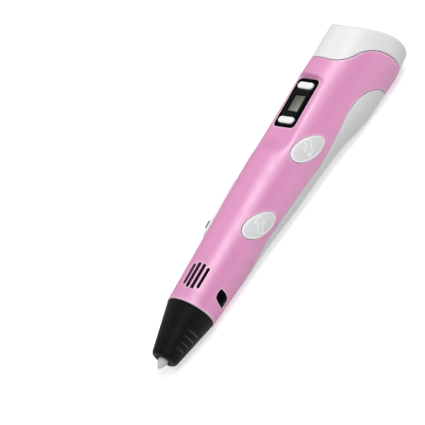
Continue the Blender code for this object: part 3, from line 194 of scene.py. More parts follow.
# Vents and indicator lens
VENT_X = 0.0433
VENT_ANGLE = radians(18.5)
VENT_SPAN = 0.0073
VENT_LENGTH = 0.0130
VENT_SLOT = (0.0021, 0.0014)
VENT_ARCH = (0.62, 0.40)
VENT_COUNT = 4
LENS_X = 0.0405
LENS_ANGLE = radians(100.5)
LENS_SIZE = (0.0087, 0.0063)
LENS_TILT = radians(50)
LENS_LIP = 0.0003
LENS_RISE = 0.00035
LENS_SUNK = 0.00015
LENS_WALL = 0.0014
LENS_RINGS = 9
LEAF_POWER = 1.6
LEAF_SHIFT = 0.35

# Screws of the belly cover
COVER_SCREWS = ((0.0600, 0.0045), (0.1505, 0.0060))
SCREW_HEAD_R = 0.0018
SCREW_HEAD = 0.0012
SCREW_R = 0.00085
SCREW_LONG = 0.0060
SCREW_COUNT = 64
SCREW_STEPS = 16
HEAD_DOME = 0.45
HEAD_POWER = 2.6
CROSS_HALF = 0.00034
CROSS_REACH = 0.00120
CROSS_DEPTH = 0.0007
CROSS_SLOPE = (0.0001, 0.0002)

# Nose: profiles are rows of place along the axis and radius, or round corners for arc
CONE_FRONT_X = 0.0057
CONE_FRONT_R = 0.0050
CONE_ROUND = 0.0009
CONE_BASE_R = GRIP_R - 0.00015
CONE_BASE_LIP = 0.0004
CONE_START = 0.0006
CONE_STEP = 0.0008
CONE_STEPS = 29
SPIGOT_LONG = 0.0055
SPIGOT_WALL = 0.0017
CONE_FACE = (
    (0.0068, 0.0048, 0.0011, 110, 180, 7), (CONE_FRONT_X, 0.0042), (0.00605, 0.0039), (0.00605, 0.0036),
    (CONE_FRONT_X, 0.0034), (CONE_FRONT_X, 0.0031), (0.0059, 0.0029), (0.0079, 0.0029), (0.0102, 0.0043),
)
NOZZLE = (
    (0.0160, 0.0033), (0.0105, 0.0033), (0.0105, 0.0023), (0.0051, 0.0023),
    (0.0047, 0.0021, 0.0002, 60, 105, 3), (0.0028, 0.0014), (0.00175, 0.00055, 0.00022, 110, 190, 4),
    (0.00155, 0.00035), (0.0035, 0.00035), (0.0042, 0.0010), (0.0123, 0.0010),
    (0.0123, 0.0018), (0.0160, 0.0018),
)
RIB_START = 0.0099
RIB_SINK = 0.00018
RIB_SPAN = radians(50)
RIB_ANGLE = radians(90)
RIB_END_POWER = 0.4
RIB_END_LEAST = 0.01

# Rear end: profiles from the face of each piece
JACK_Z = -0.0160
JACK_FACE_X = REAR_X - 0.0006 - (JACK_Z - REAR_FLAT_Z) ** 2 / (2 * REAR_CROWN)
JACK_HOLE_R = 0.0042
INLET_FACE_X = 0.1779
INLET_HOLE_R = 0.0033
INLET = (
    (-0.0070, 0.0030), (-0.0070, 0.0012), (-0.0008, 0.0012), (0.0, 0.0020), (0.0, 0.0026),
    (-0.0003, 0.0027, 0.0003, 0, 90, 4),
)
SOCKET = (
    (-0.0140, 0.0), (-0.0140, 0.0039), (-0.0004, 0.0035, 0.0004, 90, 0, 5), (0.0, 0.0031),
    (-0.0004, 0.00275), (-0.0095, 0.00275), (-0.0095, 0.0),
)
SOCKET_PIN = (
    (-0.0095, 0.0), (-0.0095, 0.0010), (-0.0016, 0.0004, 0.0006, 90, 0, 5), (-0.0010, 0.0),
)

# Meshing
GIRTH = 0.0130          # width of the unrolled skin for one radian
CLEAR = 0.00042         # least distance of a free point from an outline
NUDGE = 1e-4
TINY = 1e-7
SAME_POINT = 1e-9
COPY_SHARP = radians(40)
SIDE_ROUNDS = 6
FRAME_ROUNDS = 5
QUARTERS = ((1, 1), (-1, 1), (-1, -1), (1, -1))
STADIUM_ROUND = 0.995   # share of half the width, to leave a short flat at each end
LIP_STEPS = 4
MITRE_LEAST = 0.55
SHADE_DEPTH = 0.00018   # below a lip, where the painted shade on the wall of a gap begins
SHADE_LEAST = 0.8       # share of a thin wall, in place of that depth
EDGE_HIGHLIGHT_START = 0.5        # share of the painted highlight on the skin where a lip begins
SEAM_SPLITS = 60
SEAM_STEP = 0.0006
WELD_STEP = 0.0010
FRONT_COUNT = 110
GRID_STEP = 0.0012
BEND_STEPS = (
    (DECK_X[0] - 0.002, DECK_X[1] + 0.002, 0.0008),
    (DECK_X[2] - 0.001, DECK_X[3] + 0.0012, 0.00035),
)
TOP_REACH = radians(48)
TOP_TURN = radians(1.7)
SIDE_TURN = radians(3.2)
BODY_GRID = (GRIP_X + 0.0008, 0.1765, -pi + 0.02, pi - 0.02)
COVER_GRID = (0.0540, 0.1660, radians(75), radians(285))
CAP_GRID_REACH = 0.0470
CAP_STEP = 0.0008
CAP_BEND_STEP = 0.00025
CAP_BEND_MARGIN = 0.0003

# Finishes
NOISE_SPAN = (0.3, 0.7)
TILTED = (0.0, LIE, 0.0)    # turns the model's coordinates along the pen

# Stage: direction and roll of the view, and its middle along and across the pen
VIEW = Vector((-0.2924, -0.7583, 0.5824))
ROLL = (0.495, 0.869)
VIEW_MIDDLE = (0.0712069, -0.0131897)
SENSOR = 36.0
CLIP = (0.05, 60.0)
FLOOR_Z = -0.0001
FLOOR_HALF = 6
FLOOR_GLOW = 0.62
SKY = 0.27
WHITE = (1.0, 1.0, 1.0, 1.0)
KEY_LAMP_WAY = (0.29, -0.52, 0.80)
KEY_LAMP_AWAY = 1.1
KEY_LAMP_SIZE = (1.3, 0.34)
TOP_LAMP_PLACE = (0.15, 0.85, 0.95)
TOP_LAMP_SIZE = (2.0, 1.8)
TOP_LAMP_POWER = 6.6


# Settings

class CasingLook(bpy.types.PropertyGroup):
    pink: FloatVectorProperty(
        name="Pink", description="Colour of the upper casing", subtype="COLOR", default=(0.79, 0.240, 0.540))
    white: FloatVectorProperty(
        name="White", description="Colour of the belly cover and the end cap", subtype="COLOR",
        default=(0.87, 0.875, 0.88))
    lip: FloatProperty(
        name="Seam lip", description="Rounding of the edges along the seams", unit="LENGTH", default=0.00022)
    grain: FloatProperty(
        name="Grain", description="Depth of the moulded grain", unit="LENGTH", default=0.000012)


class NoseLook(bpy.types.PropertyGroup):
    black: FloatVectorProperty(
        name="Black", description="Colour of the nose cone", subtype="COLOR",
        default=(0.0070, 0.0070, 0.0073))
    ribs: IntProperty(name="Ribs", description="Number of grip ribs on the cone", default=4, min=2)
    pitch: FloatProperty(
        name="Rib pitch", description="Distance between grip ribs", unit="LENGTH", default=0.0030)
    rib: FloatProperty(name="Rib radius", description="Radius of a grip rib", unit="LENGTH", default=0.00055)


class KeyLook(bpy.types.PropertyGroup):
    face: FloatVectorProperty(
        name="Face", description="Colour of the face of the keys", subtype="COLOR",
        default=(0.80, 0.81, 0.815))
    # The rim colour is a painted highlight on the raised rims and arrows of the large keys.
    rim: FloatVectorProperty(
        name="Rim", description="Colour of the raised rim of the keys", subtype="COLOR",
        default=(0.97, 0.97, 0.97))
    arrow: FloatProperty(
        name="Arrow height", description="Height of the raised arrows", unit="LENGTH", default=0.00035)


class StageLook(bpy.types.PropertyGroup):
    floor: FloatVectorProperty(
        name="Floor", description="Colour of the floor", subtype="COLOR", default=(0.62, 0.62, 0.62))
    distance: FloatProperty(
        name="Camera distance", description="Distance of the camera from the pen", unit="LENGTH",
        default=8.0)
    across: FloatProperty(
        name="Width in view", description="Width that the camera sees at the pen", unit="LENGTH",
        default=0.1832)
    key_light: FloatProperty(
        name="Key light", description="Power of the long lamp above the keys", unit="POWER", default=9.0)


# Casing skin

def smooth_step(value, low=0.0, high=1.0):
    share = min(max((value - low) / (high - low), 0.0), 1.0)
    return share * share * (3.0 - 2.0 * share)


def over(value, soft):
    """The part of a value above zero, with a soft bend of the given reach."""
    if value <= -soft:
        return 0.0
    if value >= soft:
        return value
    return (value + soft) ** 2 / (4.0 * soft)


def slope_at(i, column):
    before = CASING[max(i - 1, 0)]
    after = CASING[min(i + 1, len(CASING) - 1)]
    return (after[column] - before[column]) / (after[0] - before[0])


def section(x):
    """Height of the middle, half height and half width of the skin at x."""
    i = 0
    while i < len(CASING) - 2 and CASING[i + 1][0] <= x:
        i += 1
    low, high = CASING[i], CASING[i + 1]
    step = high[0] - low[0]
    t = min(max((x - low[0]) / step, 0.0), 1.0)
    reach = []
    for column in (1, 2, 3):
        value = low[column] + (high[column] - low[column]) * smooth_step(t)
        value += slope_at(i, column) * step * t * (1 - t) ** 2
        value -= slope_at(i + 1, column) * step * t * t * (1 - t)
        reach.append(value)
    top, bottom, half = reach
    return (top - bottom) / 2, (top + bottom) / 2, half


def rear_share(x):
    return smooth_step(x, REAR_BLEND_X, REAR_X)


def rear_crown(z):
    return (z - REAR_FLAT_Z) ** 2 / (2.0 * REAR_CROWN)


def skin(x, angle, inset=0.0):
    """Point of the skin at an angle from the top, turning towards the large keys."""
    middle, tall, half = section(x)
    y = -(half - inset) * sin(angle)
    z = middle + (tall - inset) * cos(angle)
    ramp = smooth_step(x, *DECK_X[:2]) * (1.0 - smooth_step(x, *DECK_X[2:]))
    z -= ramp * over(z - DECK_Z, DECK_SOFT)
    x -= rear_share(x) * rear_crown(z)
    z += over(-GRIP_R - tan(LIE) * (x - GRIP_X) - z, FLAT_SOFT)
    return Vector((x, y, z))


def skin_slopes(x, angle):
    along = (skin(x + NUDGE, angle) - skin(x - NUDGE, angle)) / (2 * NUDGE)
    round_it = (skin(x, angle + NUDGE) - skin(x, angle - NUDGE)) / (2 * NUDGE)
    return along, round_it


def skin_normal(x, angle):
    along, round_it = skin_slopes(x, angle)
    return round_it.cross(along).normalized()


def raised(x, angle, height):
    return skin(x, angle) + skin_normal(x, angle) * height


def skin_frame(x, angle):
    """Frame on the skin: first axis along the pen, third axis out of it."""
    along = skin_slopes(x, angle)[0].normalized()
    out = skin_normal(x, angle)
    turn = Matrix((along, out.cross(along), out)).transposed().to_4x4()
    return Matrix.Translation(skin(x, angle)) @ turn


def from_side(x, z):
    """Place on the skin that is seen at x, z from the side of the keys."""
    place = x
    for _ in range(SIDE_ROUNDS):
        place = x + rear_share(place) * rear_crown(z)
    middle, tall, _ = section(place)
    return place, acos(min(max((z - middle) / tall, -1.0), 1.0))


def from_frame(frame_on_skin, u, v):
    """Place on the skin under a point of a plane that touches it."""
    spot = frame_on_skin @ Vector((u, v, 0.0))
    out = frame_on_skin.col[2].to_3d()
    for _ in range(FRAME_ROUNDS):
        middle, tall, half = section(spot.x)
        angle = atan2(-spot.y / half, (spot.z - middle) / tall)
        spot += out * (skin(spot.x, angle) - spot).dot(out)
    return spot.x, angle


# Outlines

def grown(size, by):
    """Length and width with a margin on every side."""
    return size[0] + 2 * by, size[1] + 2 * by


def smooth_path(points, steps):
    """Points on a smooth curve through the given ones."""
    path = []
    last = len(points) - 1
    for i in range(last):
        p0, p1 = points[max(i - 1, 0)], points[i]
        p2, p3 = points[i + 1], points[min(i + 2, last)]
        for k in range(steps):
            t = k / steps
            path.append(tuple(
                0.5 * (2 * b + (c - a) * t + (2 * a - 5 * b + 4 * c - d) * t * t
                       + (3 * b - a - 3 * c + d) * t ** 3)
                for a, b, c, d in zip(p0, p1, p2, p3)))
    path.append(tuple(points[last]))
    return path


def even_path(path, step):
    """Path of places on the skin, at even steps along it."""
    spots = [skin(*place) for place in path]
    reach = [0.0]
    for near, far in zip(spots, spots[1:]):
        reach.append(reach[-1] + (far - near).length)
    count = max(2, round(reach[-1] / step))
    even = []
    i = 0
    for k in range(count + 1):
        aim = reach[-1] * k / count
        while i < len(path) - 2 and reach[i + 1] < aim:
            i += 1
        span = reach[i + 1] - reach[i]
        share = (aim - reach[i]) / span if span > 0.0 else 0.0
        even.append(tuple(a + (b - a) * share for a, b in zip(path[i], path[i + 1])))
    return even


def round_box(size, corner, steps=6):
    points = []
    for quarter, (u, v) in enumerate(QUARTERS):
        for k in range(steps + 1):
            angle = pi / 2 * (quarter + k / steps)
            points.append((u * (size[0] / 2 - corner) + corner * cos(angle),
                           v * (size[1] / 2 - corner) + corner * sin(angle)))
    return points


def stadium(size, steps):
    return round_box(size, min(size) / 2 * STADIUM_ROUND, steps)


def ellipse(size, count):
    turn = 2.0 * pi / count
    return [(size[0] / 2 * cos(i * turn), size[1] / 2 * sin(i * turn)) for i in range(count)]


def circle(radius, count):
    return ellipse((2 * radius, 2 * radius), count)


def leaf(size, steps=16):
    """Almond outline: two equal bows that meet in points, one bow shifted along the other."""
    points = []
    for flip in (1, -1):
        for k in range(steps):
            share = cos(pi * k / steps)
            side = flip * size[1] / 2 * (1.0 - abs(share) ** LEAF_POWER)
            points.append((flip * size[0] / 2 * share + LEAF_SHIFT * side, side))
    return points


def placed(points, u=0.0, v=0.0, angle=0.0):
    """Outline turned about its origin and moved."""
    c, s = cos(angle), sin(angle)
    return [(u + a * c - b * s, v + a * s + b * c) for a, b in points]


def split_sides(points, step=SEAM_STEP):
    """Closed outline with its long sides cut into even steps."""
    cut = []
    for near, far in zip(points, points[1:] + points[:1]):
        count = max(1, ceil(dist(near, far) / step))
        for k in range(count):
            cut.append(tuple(a + (b - a) * k / count for a, b in zip(near, far)))
    return cut


def signed_area(points):
    pairs = zip(points, points[1:] + points[:1])
    return sum(a[0] * b[1] - b[0] * a[1] for a, b in pairs) / 2


def shrink(points, distance):
    """Closed outline drawn in by a distance."""
    turn = copysign(1.0, signed_area(points))
    drawn = []
    for i, point in enumerate(points):
        mean = [0.0, 0.0]
        for near, far in ((points[i - 1], point), (point, points[(i + 1) % len(points)])):
            long = dist(near, far)
            mean[0] -= (far[1] - near[1]) / long * turn
            mean[1] += (far[0] - near[0]) / long * turn
        reach = 2 * distance / (mean[0] ** 2 + mean[1] ** 2)
        drawn.append((point[0] + mean[0] * reach, point[1] + mean[1] * reach))
    return drawn


def shifted(loop, distance, ring=False):
    """Loop of skin places moved over the skin: outwards, or to the rear for a ring."""
    spots = [skin(*place) for place in loop]
    turn = 1.0 if ring else copysign(1.0, signed_area(loop))
    moved = []
    for i, (x, angle) in enumerate(loop):
        along, round_it = skin_slopes(x, angle)
        run = spots[(i + 1) % len(loop)] - spots[i - 1]
        out = run.cross(along.cross(round_it)).normalized() * turn * distance
        g11, g12, g22 = along.dot(along), along.dot(round_it), round_it.dot(round_it)
        b1, b2 = along.dot(out), round_it.dot(out)
        det = g11 * g22 - g12 * g12
        moved.append((x + (b1 * g22 - b2 * g12) / det, angle + (b2 * g11 - b1 * g12) / det))
    return moved


def unroll(loop):
    return [(x, -angle * GIRTH) for x, angle in loop]


def on_skin(u, v):
    return skin(u, -v / GIRTH)


# Surfaces

def inside(spots, loop):
    """Which of the spots lie inside a closed outline."""
    x, y = spots[:, 0], spots[:, 1]
    odd = np.zeros(len(spots), bool)
    for (x0, y0), (x1, y1) in zip(loop, loop[1:] + loop[:1]):
        if y0 == y1:
            continue
        cross = (y0 > y) != (y1 > y)
        odd ^= cross & (x < (x1 - x0) * (y - y0) / (y1 - y0) + x0)
    return odd


def patch(loops, grid, place, lips, clear=CLEAR):
    """Open surface inside the first outline and outside the others, with a lip radius for each."""
    points, edges, lip_of = [], [], []
    for loop, lip in zip(loops, lips):
        first, count = len(points), len(loop)
        points += loop
        lip_of += lip if isinstance(lip, list) else [lip] * count
        edges += [(first + i, first + (i + 1) % count) for i in range(count)]
    near = KDTree(len(points))
    for i, point in enumerate(points):
        near.insert((*point, 0.0), i)
    near.balance()

    def covered(spots):
        keep = inside(spots, loops[0])
        for loop in loops[1:]:
            keep &= ~inside(spots, loop)
        return keep

    if len(grid):
        spots = np.array(grid)
        for spot in spots[covered(spots)]:
            if near.find((spot[0], spot[1], 0.0))[2] > clear:
                points.append((float(spot[0]), float(spot[1])))
    flat = [Vector(point) for point in points]
    verts, _, faces, sources, _, _ = delaunay_2d_cdt(flat, edges, [], 0, SAME_POINT)
    corners = np.array([[verts[i] for i in face] for face in faces])
    kept = covered(corners.mean(axis=1))
    shape = bmesh.new()
    layer = shape.verts.layers.float.new("lip")
    made = []
    for vert, source in zip(verts, sources):
        spot = shape.verts.new(place(vert.x, vert.y))
        known = [i for i in source if i < len(lip_of)]
        spot[layer] = lip_of[known[0]] if known else 0.0
        made.append(spot)
    for face, keep in zip(faces, kept):
        if keep:
            shape.faces.new([made[i] for i in face])
    loose = [vert for vert in shape.verts if not vert.link_faces]
    bmesh.ops.delete(shape, geom=loose, context="VERTS")
    bmesh.ops.remove_doubles(shape, verts=shape.verts, dist=TINY)
    return shape


def thicken(shape, wall):
    """Round the open edges of a surface downwards and close it with an inner skin, writing a painted
    highlight share on the lips and a painted shade share on the walls below them and on the inner skin.
    """
    # Share of painted shade: the walls below the lips and the inner skin, darkened as if in shadow.
    deep = shape.verts.layers.float.new("deep")
    # Share of painted highlight: paler on the rounded lips.
    edge_highlight_share = shape.verts.layers.float.new("edge")
    layer = shape.verts.layers.float["lip"]
    shape.normal_update()
    normals = {vert: vert.normal.copy() for vert in shape.verts}
    faces = list(shape.faces)
    rims = []
    out = {}
    for edge in shape.edges:
        if edge.is_boundary:
            loop = edge.link_loops[0]
            first, second = loop.vert, loop.link_loop_next.vert
            rims.append((first, second))
            side = (second.co - first.co).cross(loop.face.normal).normalized()
            for vert in (first, second):
                out.setdefault(vert, []).append(side)

    # New points take the painted shade unless given another share.
    def sunk(spot, share=1.0):
        made = shape.verts.new(spot)
        made[deep] = share
        return made

    inner = {vert: sunk(vert.co - normals[vert] * wall) for vert in normals}
    for face in faces:
        shape.faces.new([inner[vert] for vert in reversed(face.verts)])
    rings = {}
    for vert, sides in out.items():
        lip, normal = vert[layer], normals[vert]
        way = sum(sides, Vector())
        way -= normal * way.dot(normal)
        way.normalize()
        way /= max(MITRE_LEAST, way.dot(sides[0]))
        # The lip's rounded edge takes a painted highlight, half at its top and full below it.
        vert[edge_highlight_share] = EDGE_HIGHLIGHT_START
        ring = [vert]
        for k in range(1, LIP_STEPS + 1):
            turn = pi / 2 * k / LIP_STEPS
            ring.append(sunk(vert.co + way * lip * sin(turn) - normal * lip * (1.0 - cos(turn)), 0.0))
            ring[-1][edge_highlight_share] = 1.0
        # The wall below the lip takes the painted shade.
        for drop in (min(lip + SHADE_DEPTH, wall * SHADE_LEAST), wall):
            ring.append(sunk(vert.co + way * lip - normal * drop))
        rings[vert] = ring + [inner[vert]]
    for first, second in rims:
        near, far = rings[first], rings[second]
        for k in range(len(near) - 1):
            shape.faces.new((far[k], near[k], near[k + 1], far[k + 1]))
    shape.normal_update()
    return shape


def plate(outline, holes, top, lip, wall):
    """Flat plate in the pen's plan, with rounded upper edges."""
    loops = [outline] + holes
    return thicken(patch(loops, (), lambda u, v: Vector((u, v, top)), [lip] * len(loops)), wall)


def arc(along, radius, reach, start, end, steps):
    """Round corner of a turned profile, in degrees from the direction of the axis."""
    turns = [radians(start + (end - start) * k / steps) for k in range(steps + 1)]
    return [(along + reach * cos(turn), radius + reach * sin(turn)) for turn in turns]


def join_rings(shape, rings, steps):
    """Faces between each ring of points and the next, where a ring of one point is a tip."""
    for near, far in zip(rings, rings[1:]):
        for i in range(steps):
            j = (i + 1) % steps
            corners = []
            for vert in (near[i % len(near)], near[j % len(near)], far[j % len(far)], far[i % len(far)]):
                if vert not in corners:
                    corners.append(vert)
            if len(corners) > 2:
                shape.faces.new(corners)


def lathe(profile, steps, place=Matrix.Identity(4)):
    """Turned solid from a closed profile of points and round corners that run round it."""
    shape = bmesh.new()
    rings = []
    for row in profile:
        for along, radius in [row] if len(row) == 2 else arc(*row):
            ring = circle(radius, steps)[:1 if radius < TINY else steps]
            rings.append([shape.verts.new((along, u, v)) for u, v in ring])
    join_rings(shape, rings + rings[:1], steps)
    bmesh.ops.recalc_face_normals(shape, faces=shape.faces)
    shape.transform(place)
    return shape


# Pieces

def add_object(name, data):
    made = bpy.data.objects.new(name, data)
    bpy.context.scene.collection.objects.link(made)
    return made


def add_mesh(name, mesh, slot, nodes=(), body="casing", look=None):
    """Lay a mesh on the model as a piece; its finish is that of its slot unless another is named."""
    mesh.transform(PEN)
    mesh.materials.clear()
    mesh.materials.append(finish(look or slot))
    piece = add_object(name, mesh)
    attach(piece, body)
    if nodes:
        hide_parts(*nodes)


def add_piece(name, shape, slot, nodes=(), body="casing", look=None, sharp=45.0):
    mesh = bpy.data.meshes.new(name)
    shape.to_mesh(mesh)
    shape.free()
    mesh.shade_smooth()
    mesh.set_sharp_from_angle(angle=radians(sharp))
    add_mesh(name, mesh, slot, nodes, body, look)


# Node trees

class Tree:
    """A node tree whose nodes are made, set and linked in one call each."""

    def __init__(self, tree):
        self.tree = tree

    def fill(self, node, inputs):
        """Set inputs of a node to values, or link them to outputs of others."""
        for key, value in inputs.items():
            if isinstance(value, bpy.types.NodeSocket):
                self.tree.links.new(value, node.inputs[key])
            else:
                node.inputs[key].default_value = value

    def node(self, kind, inputs=None, output=0, **settings):
        made = self.tree.nodes.new(kind)
        for key, value in settings.items():
            setattr(made, key, value)
        self.fill(made, inputs or {})
        return made.outputs[output]

    def math(self, operation, first, second=0.0):
        return self.node("ShaderNodeMath", {0: first, 1: second}, operation=operation)


class Copies(Tree):
    """Geometry Nodes with named inputs that lay copies of one shape."""

    def __init__(self, name, points=None):
        super().__init__(bpy.data.node_groups.new(name, "GeometryNodeTree"))
        self.points = points or bpy.data.meshes.new(name + "_points")
        self.values = {}
        for way, socket in (("INPUT", "Points"), ("OUTPUT", "Geometry")):
            self.tree.interface.new_socket(socket, in_out=way, socket_type="NodeSocketGeometry")

    def given(self, **values):
        """Named inputs of the tree, each set to its value."""
        for name, value in values.items():
            kind = "NodeSocketInt" if isinstance(value, int) else "NodeSocketFloat"
            made = self.tree.interface.new_socket(name, in_out="INPUT", socket_type=kind)
            made.default_value = value
            self.values[made.identifier] = value
        return [self.node("NodeGroupInput", output=name) for name in values]

    def row(self, count, pitch, way, start):
        """Points at even steps along the pen."""
        step = self.node("ShaderNodeCombineXYZ", {"X": self.math("MULTIPLY", pitch, way)})
        return self.node("GeometryNodeMeshLine", {
            "Count": count, "Start Location": (start, 0.0, 0.0), "Offset": step})

    def mesh(self, points, shape, material, scale=(1.0, 1.0, 1.0)):
        """The finished copies as a plain mesh."""
        laid = self.node("GeometryNodeInstanceOnPoints", {
            "Points": points, "Instance": shape, "Scale": scale})
        real = self.node("GeometryNodeRealizeInstances", {"Geometry": laid})
        painted = self.node("GeometryNodeSetMaterial", {"Geometry": real, "Material": material})
        self.fill(self.tree.nodes.new("NodeGroupOutput"), {"Geometry": painted})
        holder = add_object(self.tree.name, self.points)
        modifier = holder.modifiers.new("copies", "NODES")
        modifier.node_group = self.tree
        for identifier, value in self.values.items():
            modifier[identifier] = value
        graph = bpy.context.evaluated_depsgraph_get()
        mesh = bpy.data.meshes.new_from_object(holder.evaluated_get(graph))
        bpy.data.objects.remove(holder)
        mesh.shade_smooth()
        mesh.set_sharp_from_angle(angle=COPY_SHARP)
        return mesh


class Finish(Tree):
    """A Principled material and the nodes that vary it over the object's own coordinates."""

    def __init__(self, name, roughness, metallic=0.0, coat=0.0, specular=0.5, ior=1.5):
        self.material = bpy.data.materials.new(name)
        self.material.use_nodes = True
        super().__init__(self.material.node_tree)
        self.shader = self.tree.nodes["Principled BSDF"]
        self.fill(self.shader, {
            "Roughness": roughness, "Metallic": metallic, "Coat Weight": coat, "Coat Roughness": 0.12,
            "Specular IOR Level": specular, "IOR": ior})
        self.coords = self.node("ShaderNodeTexCoord", output="Object")

    def mapped(self, scale=(1.0, 1.0, 1.0), turn=(0.0, 0.0, 0.0)):
        return self.node("ShaderNodeMapping", {"Scale": scale, "Rotation": turn, "Vector": self.coords})

    def noise(self, scale, detail=2.0, vector=None):
        return self.node("ShaderNodeTexNoise", {
            "Scale": scale, "Detail": detail, "Vector": vector or self.coords}, "Fac")

    def painted(self, attribute):
        """Share that an attribute of the surface holds."""
        return self.node("ShaderNodeAttribute", output="Fac", attribute_name=attribute)

    def remap(self, value, low, high, start=0.0, end=1.0):
        return self.node("ShaderNodeMapRange", {
            "Value": value, "From Min": start, "From Max": end, "To Min": low, "To Max": high}, "Result")

    def colour(self, share, first, second):
        """Base colour that goes from one colour, or an earlier mix, to another with a share."""
        if not isinstance(first, bpy.types.NodeSocket):
            first = (*first, 1.0)
        mix = self.node("ShaderNodeMix", {
            "Factor": share, "A": first, "B": (*second, 1.0)}, "Result", data_type="RGBA")
        self.fill(self.shader, {"Base Color": mix})
        return mix

    def rough(self, share, low, high):
        self.fill(self.shader, {"Roughness": self.remap(share, low, high, *NOISE_SPAN)})

    def bump(self, value, depth):
        self.fill(self.shader, {"Normal": self.node("ShaderNodeBump", {"Distance": depth, "Height": value})})


# Finishes

def tinted(colour, share):
    return tuple(min(1.0, channel * share) for channel in colour)


def moulded(name, colour, roughness, grain, scale=2600.0, vary=0.03, specular=0.5, ior=1.5,
            gap_shade_colour=None, lip=None):
    """Moulded plastic: slight flow marks, a fine even grain, a painted highlight on its lips and painted
    shade on the walls inside its gaps.
    """
    made = Finish(name, roughness, specular=specular, ior=ior)
    flow_and_highlight = made.colour(made.noise(55.0, detail=3.0), tinted(colour, 1.0 - vary), tinted(colour, 1.0 + vary))
    # Painted highlight: the lips take the paler lip colour.
    if lip:
        flow_and_highlight = made.colour(made.painted("edge"), flow_and_highlight, lip)
    # Painted shade: the walls inside gaps take the darker gap colour.
    if gap_shade_colour:
        made.colour(made.painted("deep"), flow_and_highlight, gap_shade_colour)
    made.rough(made.noise(240.0, detail=4.0), roughness - 0.05, roughness + 0.05)
    made.bump(made.noise(scale), grain)
    return made


def metal(name, colour, roughness, stretch):
    """Turned or drawn metal with fine marks along one way."""
    made = Finish(name, roughness, metallic=1.0)
    marks = made.noise(1.0, 3.0, made.mapped(stretch))
    made.colour(marks, tinted(colour, 0.86), tinted(colour, 1.08))
    made.rough(marks, roughness - 0.07, roughness + 0.10)
    made.bump(marks, 0.000008)
    return made


def make_finishes():
    """Every finish of the pen, by the name of its slot."""
    scene = bpy.context.scene
    casing, nose, keys = scene.pen_casing, scene.pen_nose, scene.pen_keys
    made = {
        # The gap colours are painted shade on the walls inside the casing's gaps and vents.
        "pink_casing": moulded(
            "pink_plastic", casing.pink, 0.49, casing.grain, vary=0.02, specular=1.0, ior=1.85,
            # The lip colour is a painted highlight on the pink casing's lips.
            gap_shade_colour=(0.15, 0.014, 0.09), lip=(0.93, 0.60, 0.78)),
        "white_casing": moulded(
            "white_plastic", casing.white, 0.42, casing.grain, vary=0.012, gap_shade_colour=(0.36, 0.36, 0.36)),
        "slider_white": moulded("slider_plastic", casing.white, 0.42, casing.grain, vary=0.012),
        "black_nose": moulded("black_nose", nose.black, 0.50, 0.000060, 700.0, 0.65, 0.10),
        # The ribs' black is twice as light as the cone's, a painted highlight that makes them show. Their
        # lower roughness and higher specular are their own.
        "rib_highlight_black": moulded("rib_plastic", (0.014, 0.014, 0.015), 0.38, 0.00002, 900.0, 0.5, 0.36),
        "black_bezel": moulded(
            "black_bezel", (0.0007, 0.0007, 0.0008), 0.30, 0.000003, vary=0.1, specular=0.015),
        "black_panel": moulded(
            "black_panel", (0.0024, 0.0027, 0.0024), 0.28, 0.000002, vary=0.25, specular=0.05),
        "knob_grey": moulded("knob_plastic", (0.085, 0.085, 0.090), 0.5, 0.00002, vary=0.08),
        "dark_lens": moulded(
            "dark_lens", (0.0008, 0.0007, 0.0006), 0.24, 0.000002, vary=0.2, specular=0.02),
        "ceramic": moulded("ceramic", (0.74, 0.74, 0.73), 0.45, 0.000020, 3200.0, 0.05),
        "steel": metal("steel", (0.58, 0.58, 0.59), 0.32, (400.0, 2600.0, 2600.0)),
        "brass": metal("brass", (0.75, 0.53, 0.22), 0.30, (2600.0, 300.0, 300.0)),
        "aluminium": metal("aluminium", (0.70, 0.70, 0.71), 0.36, (2600.0, 260.0, 260.0)),
        "frame_nylon": moulded("frame_nylon", (0.055, 0.055, 0.060), 0.55, 0.00003, vary=0.12),
        "guide_white": moulded("guide_acetal", (0.80, 0.80, 0.77), 0.45, 0.00001),
        "switch_black": moulded("switch_plastic", (0.018, 0.018, 0.019), 0.48, 0.00002, vary=0.2),
        "lead_red": moulded("lead_red", (0.50, 0.020, 0.018), 0.42, 0.00001, 1500.0, 0.08),
        "lead_black": moulded("lead_black", (0.014, 0.014, 0.015), 0.42, 0.00001, 1500.0, 0.2),
        "mica": mica_finish(),
        "board_green": board_finish(),
        "key_white": key_finish(keys),
        "display_glass": screen_finish(),
    }
    return {slot: look.material for slot, look in made.items()}


def mica_finish():
    made = Finish("mica", 0.55)
    flakes = made.node("ShaderNodeTexVoronoi", {"Scale": 900.0, "Vector": made.coords}, "Distance")
    made.colour(flakes, (0.62, 0.48, 0.29), (0.40, 0.29, 0.16))
    made.bump(flakes, 0.00004)
    return made


def board_finish():
    """Circuit board: solder resist over tracks."""
    made = Finish("board_resist", 0.42)
    tracks = made.node("ShaderNodeTexBrick", {
        "Scale": 260.0, "Mortar Size": 0.035, "Vector": made.mapped(turn=TILTED)}, "Fac")
    made.colour(tracks, (0.012, 0.135, 0.055), (0.022, 0.215, 0.085))
    made.bump(tracks, 0.00003)
    return made


def key_finish(keys):
    """White key: a light grey face, with a brighter colour on its raised rim as a painted highlight."""
    made = Finish("key_plastic", 0.34)
    made.colour(made.painted("rim"), keys.face, keys.rim)
    made.rough(made.noise(260.0, detail=3.0), 0.30, 0.40)
    made.bump(made.noise(2600.0), 0.000006)
    return made


